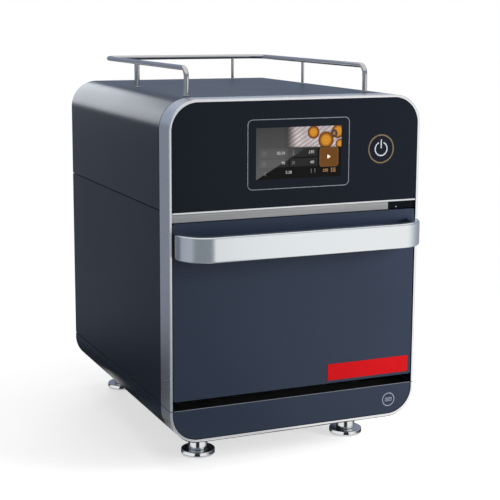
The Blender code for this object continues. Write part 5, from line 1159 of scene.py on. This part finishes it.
def makeRear():
    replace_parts(addPiece(glandMesh(), "casing", blackPlastic), "cable_gland")
    r = rear
    y = r["panelY"]
    places = [(sign * r["halfX"], y, z) for sign in (-1, 1) for z in r["sideZ"]]
    places += [(sign * r["endX"], y, z) for sign in (-1, 1) for z in r["endZ"]]
    addScrews("rearScrews", places, r["screwRadius"])
    plate = boxLine(*r["plateX"], *r["plateZ"], r["plateCorner"], 4)
    mesh = plateMesh("rearPlate", [plate], y, r["plateThickness"], r["plateEdge"])
    addPiece(mesh, "casing", handleMetal)
    face = y + r["plateThickness"]
    addScrews("plateRivets", [(x, face, z) for x in r["rivetX"] for z in r["rivetZ"]],
              r["rivetRadius"])
    mesh = turnedMesh("earthStud", r["stud"], (r["studX"], y, r["studZ"]), "y", 24)
    addPiece(mesh, "casing", zinc)


makeRear()
print("rear built")


# CAD nodes that stay

def makeSmoothGroup():
    # Smooth shading with sharp edges, for nodes whose own mesh stays untouched.
    group = bpy.data.node_groups.new("smoothByAngle", "GeometryNodeTree")
    group.is_modifier = True
    for way in ("INPUT", "OUTPUT"):
        group.interface.new_socket("Geometry", in_out=way, socket_type="NodeSocketGeometry")
    start, weld, faces, edges, end, angle, wide = [group.nodes.new(kind) for kind in (
        "NodeGroupInput", "GeometryNodeMergeByDistance", "GeometryNodeSetShadeSmooth",
        "GeometryNodeSetShadeSmooth", "NodeGroupOutput", "GeometryNodeInputMeshEdgeAngle",
        "FunctionNodeCompare")]
    weld.inputs["Distance"].default_value = 0.000005
    edges.domain = "EDGE"
    edges.inputs["Shade Smooth"].default_value = False
    wide.data_type = "FLOAT"
    wide.operation = "GREATER_THAN"
    wide.inputs[1].default_value = sharpAngle
    chain = [start, weld, faces, edges, end]
    for before, after in zip(chain, chain[1:]):
        group.links.new(before.outputs[0], after.inputs[0])
    group.links.new(angle.outputs[0], wide.inputs[0])
    group.links.new(wide.outputs[0], edges.inputs["Selection"])
    return group


smoothGroup = makeSmoothGroup()
nodeFinishes = {
    paint: ["rear_panel", "door_skin"],
    trimMetal: ["panel_trim"],
    stripMetal: ["vent_strip"],
    windowGlass: ["sensor_window"],
    cavitySteel: ["oven_cavity", "upper_jet_plate", "fan_guard"],
    panSteel: ["door_inner_pan", "cooking_plate"],
    rubber: ["door_seal"],
    zinc: ["fascia_carrier", "component_shelf", "waveguide", "stirrer_motor", "mains_filter",
           "fan_motor", "hinge_arm_left", "hinge_arm_right", "hinge_bracket_left",
           "hinge_bracket_right", "latch_hook_left", "latch_hook_right", "magnetron"],
    castMetal: ["power_inverter", "convection_fan", "mode_stirrer"],
    sheath: ["heating_coil"],
    ceramic: ["catalyst"],
    wool: ["cavity_insulation", "door_insulation"],
    blackPlastic: ["display_module", "power_switch", "interlock_switch", "port_socket",
                   "cooling_fan_housing", "cooling_fan_rotor"],
    boardGreen: ["control_board"],
    filterMetal: ["air_filter"],
}


def dressNode(node, material):
    if node.material_slots:
        for slot in node.material_slots:
            slot.material = material
    else:
        node.data.materials.append(material)
    node.modifiers.new("smoothByAngle", "NODES").node_group = smoothGroup
    node.modifiers.new("evenShading", "WEIGHTED_NORMAL").keep_sharp = True


for finish, names in nodeFinishes.items():
    for nodeName in names:
        dressNode(cadNodes[nodeName], finish)
print("CAD nodes dressed")


# Stage, lamps and camera

stage = {
    "floorHalf": 9.0, "floorColour": 0.45, "floorLift": 0.65, "clearFrom": 0.55, "clearTo": 1.3,
    "worldDiffuse": 0.34,
}
white = (1.0, 1.0, 1.0, 1.0)


def addStagePiece(name, verts, faces, material):
    mesh = bpy.data.meshes.new(name)
    mesh.from_pydata(verts, [], faces)
    mesh.materials.append(material)
    obj = addObject(name, mesh)
    return obj


def addCard(name, verts, faces, material):
    # A glowing surface that only reflections see.
    card = addStagePiece(name, verts, faces, material)
    card.visible_camera = False
    card.visible_diffuse = False
    card.visible_shadow = False
    card.visible_transmission = False
    return card


def boxCorners(half, frontY, rearY, height):
    return [(-half, frontY, height), (half, frontY, height), (half, rearY, height),
            (-half, rearY, height)]


def emptyMaterial(name):
    material = bpy.data.materials.new(name)
    material.use_nodes = True
    material.node_tree.nodes.clear()
    return material, material.node_tree


def cardMaterial(name, makeColour):
    material, tree = emptyMaterial(name)
    material.cycles.emission_sampling = "NONE"
    glow = addNode(tree, "Emission", {"Color": makeColour(tree), "Strength": 1.0})
    addNode(tree, "OutputMaterial", {"Surface": glow.outputs[0]})
    return material


def seenRays(tree):
    path = addNode(tree, "LightPath", {}).outputs
    seen = mathNode(tree, "MAXIMUM", path["Is Camera Ray"], path["Is Glossy Ray"])
    return mathNode(tree, "MAXIMUM", seen, path["Is Transmission Ray"])


def distanceNode(tree, vector):
    return addNode(tree, "VectorMath", {0: vector}, operation="LENGTH").outputs["Value"]


def makeFloor():
    s = stage
    material, tree = emptyMaterial("paleFloor")
    tone, half = s["floorColour"], s["floorHalf"]
    diffuse = addNode(tree, "BsdfDiffuse", {"Color": (tone, tone, tone, 1.0)})
    lift = addNode(tree, "Emission", {"Color": white, "Strength": s["floorLift"]})
    clear = addNode(tree, "Emission", {"Color": white, "Strength": 1.0})
    both = addNode(tree, "AddShader", {0: diffuse.outputs[0], 1: lift.outputs[0]})
    away = distanceNode(tree, objectCoords(tree))
    far = mapRange(tree, away, s["clearFrom"], s["clearTo"], smooth=True)
    shown = addNode(tree, "MixShader", {0: far, 1: both.outputs[0], 2: clear.outputs[0]})
    mix = addNode(tree, "MixShader", {0: seenRays(tree), 1: diffuse.outputs[0], 2: shown.outputs[0]})
    addNode(tree, "OutputMaterial", {"Surface": mix.outputs[0]})
    addStagePiece("floor", boxCorners(half, -half, half, 0), [(0, 1, 2, 3)], material)


def makeWorld():
    world = bpy.data.worlds.new("studio")
    bpy.context.scene.world = world
    world.use_nodes = True
    tree = world.node_tree
    tree.nodes.clear()
    strength = mapRange(tree, seenRays(tree), 0.0, 1.0, stage["worldDiffuse"], 1.0)
    back = addNode(tree, "Background", {"Color": white, "Strength": strength})
    addNode(tree, "OutputWorld", {"Surface": back.outputs[0]})


# A tent round the table that only reflections see: flags and open sides, by the compass.
# Azimuth runs from -180 to 180 degrees, 0 in front of the oven and 90 on its right.
tent = {
    "radius": 1.6, "height": 1.5, "floorHeight": 0.003, "segments": 96, "lowZ": 0.62, "highZ": 0.72,
    "upperTone": (0.295, 0.352, 0.455), "underFrom": 0.26, "underTo": 0.72, "underShare": 0.20,
    "underY": 0.20, "openFrom": -0.26, "openTo": -0.38,
    "tones": [(-180, (0.22, 0.25, 0.31)), (-166, (0.24, 0.265, 0.325)), (-150, (0.218, 0.245, 0.30)),
              (-135, (0.15, 0.17, 0.21)), (-112, (0.14, 0.15, 0.19)), (-104, (0.38, 0.42, 0.48)),
              (-62, (0.45, 0.49, 0.55)), (-52, (0.25, 0.28, 0.31)), (0, (0.25, 0.28, 0.31)),
              (13, (1.02, 1.04, 1.04)), (44, (1.05, 1.05, 1.04)), (62, (0.70, 0.73, 0.77)),
              (84, (0.38, 0.41, 0.46)), (140, (0.30, 0.32, 0.38)), (150, (0.20, 0.245, 0.33)),
              (180, (0.22, 0.25, 0.31))],
}


def compassRamp(tree, split, tones):
    turned = mathNode(tree, "ARCTAN2", split["X"], mathNode(tree, "MULTIPLY", split["Y"], -1.0))
    ramp = addNode(tree, "ValToRGB", {0: mapRange(tree, turned, -math.pi, math.pi)})
    stops = ramp.color_ramp.elements
    for angle, tone in tones[1:-1]:
        stops.new((angle + 180) / 360)
    for stop, (angle, tone) in zip(stops, tones):
        stop.position = (angle + 180) / 360
        stop.color = (*tone, 1.0)
    return ramp.outputs["Color"]


def tentColour(tree):
    t = tent
    coords = objectCoords(tree)
    split = addNode(tree, "SeparateXYZ", {0: coords}).outputs
    high = mapRange(tree, split["Z"], t["lowZ"], t["highZ"], smooth=True)
    colour = mixColour(tree, high, compassRamp(tree, split, t["tones"]), t["upperTone"])
    # The table is shaded under and behind the oven, and open in front.
    away = distanceNode(tree, vectorNode(tree, "ADD", {0: coords, 1: (0.0, -t["underY"], 0.0)}))
    behind = mapRange(tree, away, t["underFrom"], t["underTo"], t["underShare"], 1.0, smooth=True)
    ahead = mapRange(tree, split["Y"], t["openFrom"], t["openTo"], smooth=True)
    return tint(tree, colour, mathNode(tree, "MAXIMUM", behind, ahead))


def makeTent():
    t = tent
    count, radius = t["segments"], t["radius"]
    rim = [(radius * math.sin(2 * math.pi * i / count), -radius * math.cos(2 * math.pi * i / count))
           for i in range(count)]
    verts = [(x, y, z) for z in (t["floorHeight"], t["height"]) for x, y in rim]
    verts.append((0, 0, t["floorHeight"]))
    faces = gridFaces(2, count, capped=False)
    faces += [(2 * count, i, (i + 1) % count) for i in range(count)]
    addCard("reflectionTent", verts, faces, cardMaterial("tentCloth", tentColour))


# Cards on the table round each foot: light with dark bands, by the compass.
# Each has its inner and outer radius at the front feet and at the rear feet.
footCards = {
    "height": 0.0035, "segments": 48,
    "near": [(-180, 0.03), (-100, 0.03), (-84, 0.95), (-36, 1.05), (-33, 0.03), (-14, 0.03),
             (-11, 1.05), (12, 1.0), (30, 0.14), (60, 0.03), (180, 0.03)],
    "far": [(-180, 0.03), (-122, 0.03), (-106, 0.97), (-46, 1.05), (-40, 0.03), (-8, 0.03),
            (-2, 1.05), (48, 1.0), (82, 0.16), (110, 0.03), (180, 0.03)],
    "radii": {"near": {"front": (0.0272, 0.043), "rear": (0.0272, 0.043)},
              "far": {"front": (0.043, 0.15), "rear": (0.043, 0.10)}},
    # A light strip along the front, for the lower edge: half its length, two y values, its height
    "strip": (0.235, -0.375, -0.320, 0.0032), "stripTone": (0.85, 0.87, 0.90),
}


def bandColour(tree, bands):
    split = addNode(tree, "SeparateXYZ", {0: objectCoords(tree)}).outputs
    return compassRamp(tree, split, [(angle, (tone,) * 3) for angle, tone in bands])


def makeFootCards():
    f = footCards
    count = f["segments"]
    faces = gridFaces(2, count, capped=False)
    for kind, radii in f["radii"].items():
        material = cardMaterial("footCard_" + kind, lambda tree: bandColour(tree, f[kind]))
        for place, x, y in footPlaces:
            verts = [(*around(0, 0, radius, 2 * math.pi * i / count), 0.0)
                     for radius in radii[place.split("_")[0]] for i in range(count)]
            card = addCard("footCard_%s_%s" % (kind, place), verts, faces, material)
            card.location = (x, y, f["height"])
    material = cardMaterial("frontCard", lambda tree: (*f["stripTone"], 1.0))
    addCard("frontCard", boxCorners(*f["strip"]), [(0, 1, 2, 3)], material)


lamps = {
    "overhead": {"place": (0.3, -0.4, 3.0), "target": (0, 0, 0.2), "size": (2.6, 2.6), "power": 40},
    "key": {"place": (1.15, -1.05, 0.60), "target": (0.2, -0.2, 0.3), "size": (0.7, 0.7), "power": 38},
    "rearFill": {"place": (0.7, 2.4, 0.9), "target": (0, 0, 0.3), "size": (1.4, 1.4), "power": 42},
    "hoodStrip": {"place": (-0.42, 1.33, 0.82), "target": (-0.2, 0, 0.55), "size": (0.90, 0.55),
                  "power": 5.9, "colour": (0.93, 0.965, 1.0), "only": "hoodCover"},
}


def makeLamps():
    for name, values in lamps.items():
        light = bpy.data.lights.new(name, "AREA")
        light.shape = "RECTANGLE"
        light.size, light.size_y = values["size"]
        light.energy = values["power"]
        light.color = values.get("colour", (1.0, 1.0, 1.0))
        obj = addObject(name, light)
        place, target = Vector(values["place"]), Vector(values["target"])
        obj.location = place
        obj.rotation_euler = (target - place).to_track_quat("-Z", "Y").to_euler()
        obj.visible_camera = False
        if "only" in values:
            # Lights the rounded hood alone, for the long soft band along its edge.
            group = bpy.data.collections.new(name + "Receivers")
            group.objects.link(bpy.data.objects[values["only"]])
            obj.light_linking.receiver_collection = group
        else:
            obj.visible_glossy = False


camera = {"place": (-0.829962, -1.954956, 0.700211), "yaw": 23.577757, "pitch": 9.485899,
          "roll": 0.282814, "lens": 90.958253, "sensor": 36.0, "rise": -0.06}


def makeCamera():
    data = bpy.data.cameras.new("photoCamera")
    data.lens = camera["lens"]
    data.sensor_width = camera["sensor"]
    data.shift_y = camera["rise"]
    data.clip_start = 0.01
    data.clip_end = 100.0
    obj = addObject("photoCamera", data)
    obj.matrix_world = (Matrix.Translation(camera["place"])
                        @ Matrix.Rotation(-math.radians(camera["yaw"]), 4, "Z")
                        @ Matrix.Rotation(math.radians(90 - camera["pitch"]), 4, "X")
                        @ Matrix.Rotation(math.radians(camera["roll"]), 4, "Z"))
    bpy.context.scene.camera = obj


makeFloor()
makeWorld()
makeTent()
makeFootCards()
makeLamps()
makeCamera()
bpy.context.scene.view_settings.view_transform = "Standard"
print("stage, lamps and camera set")
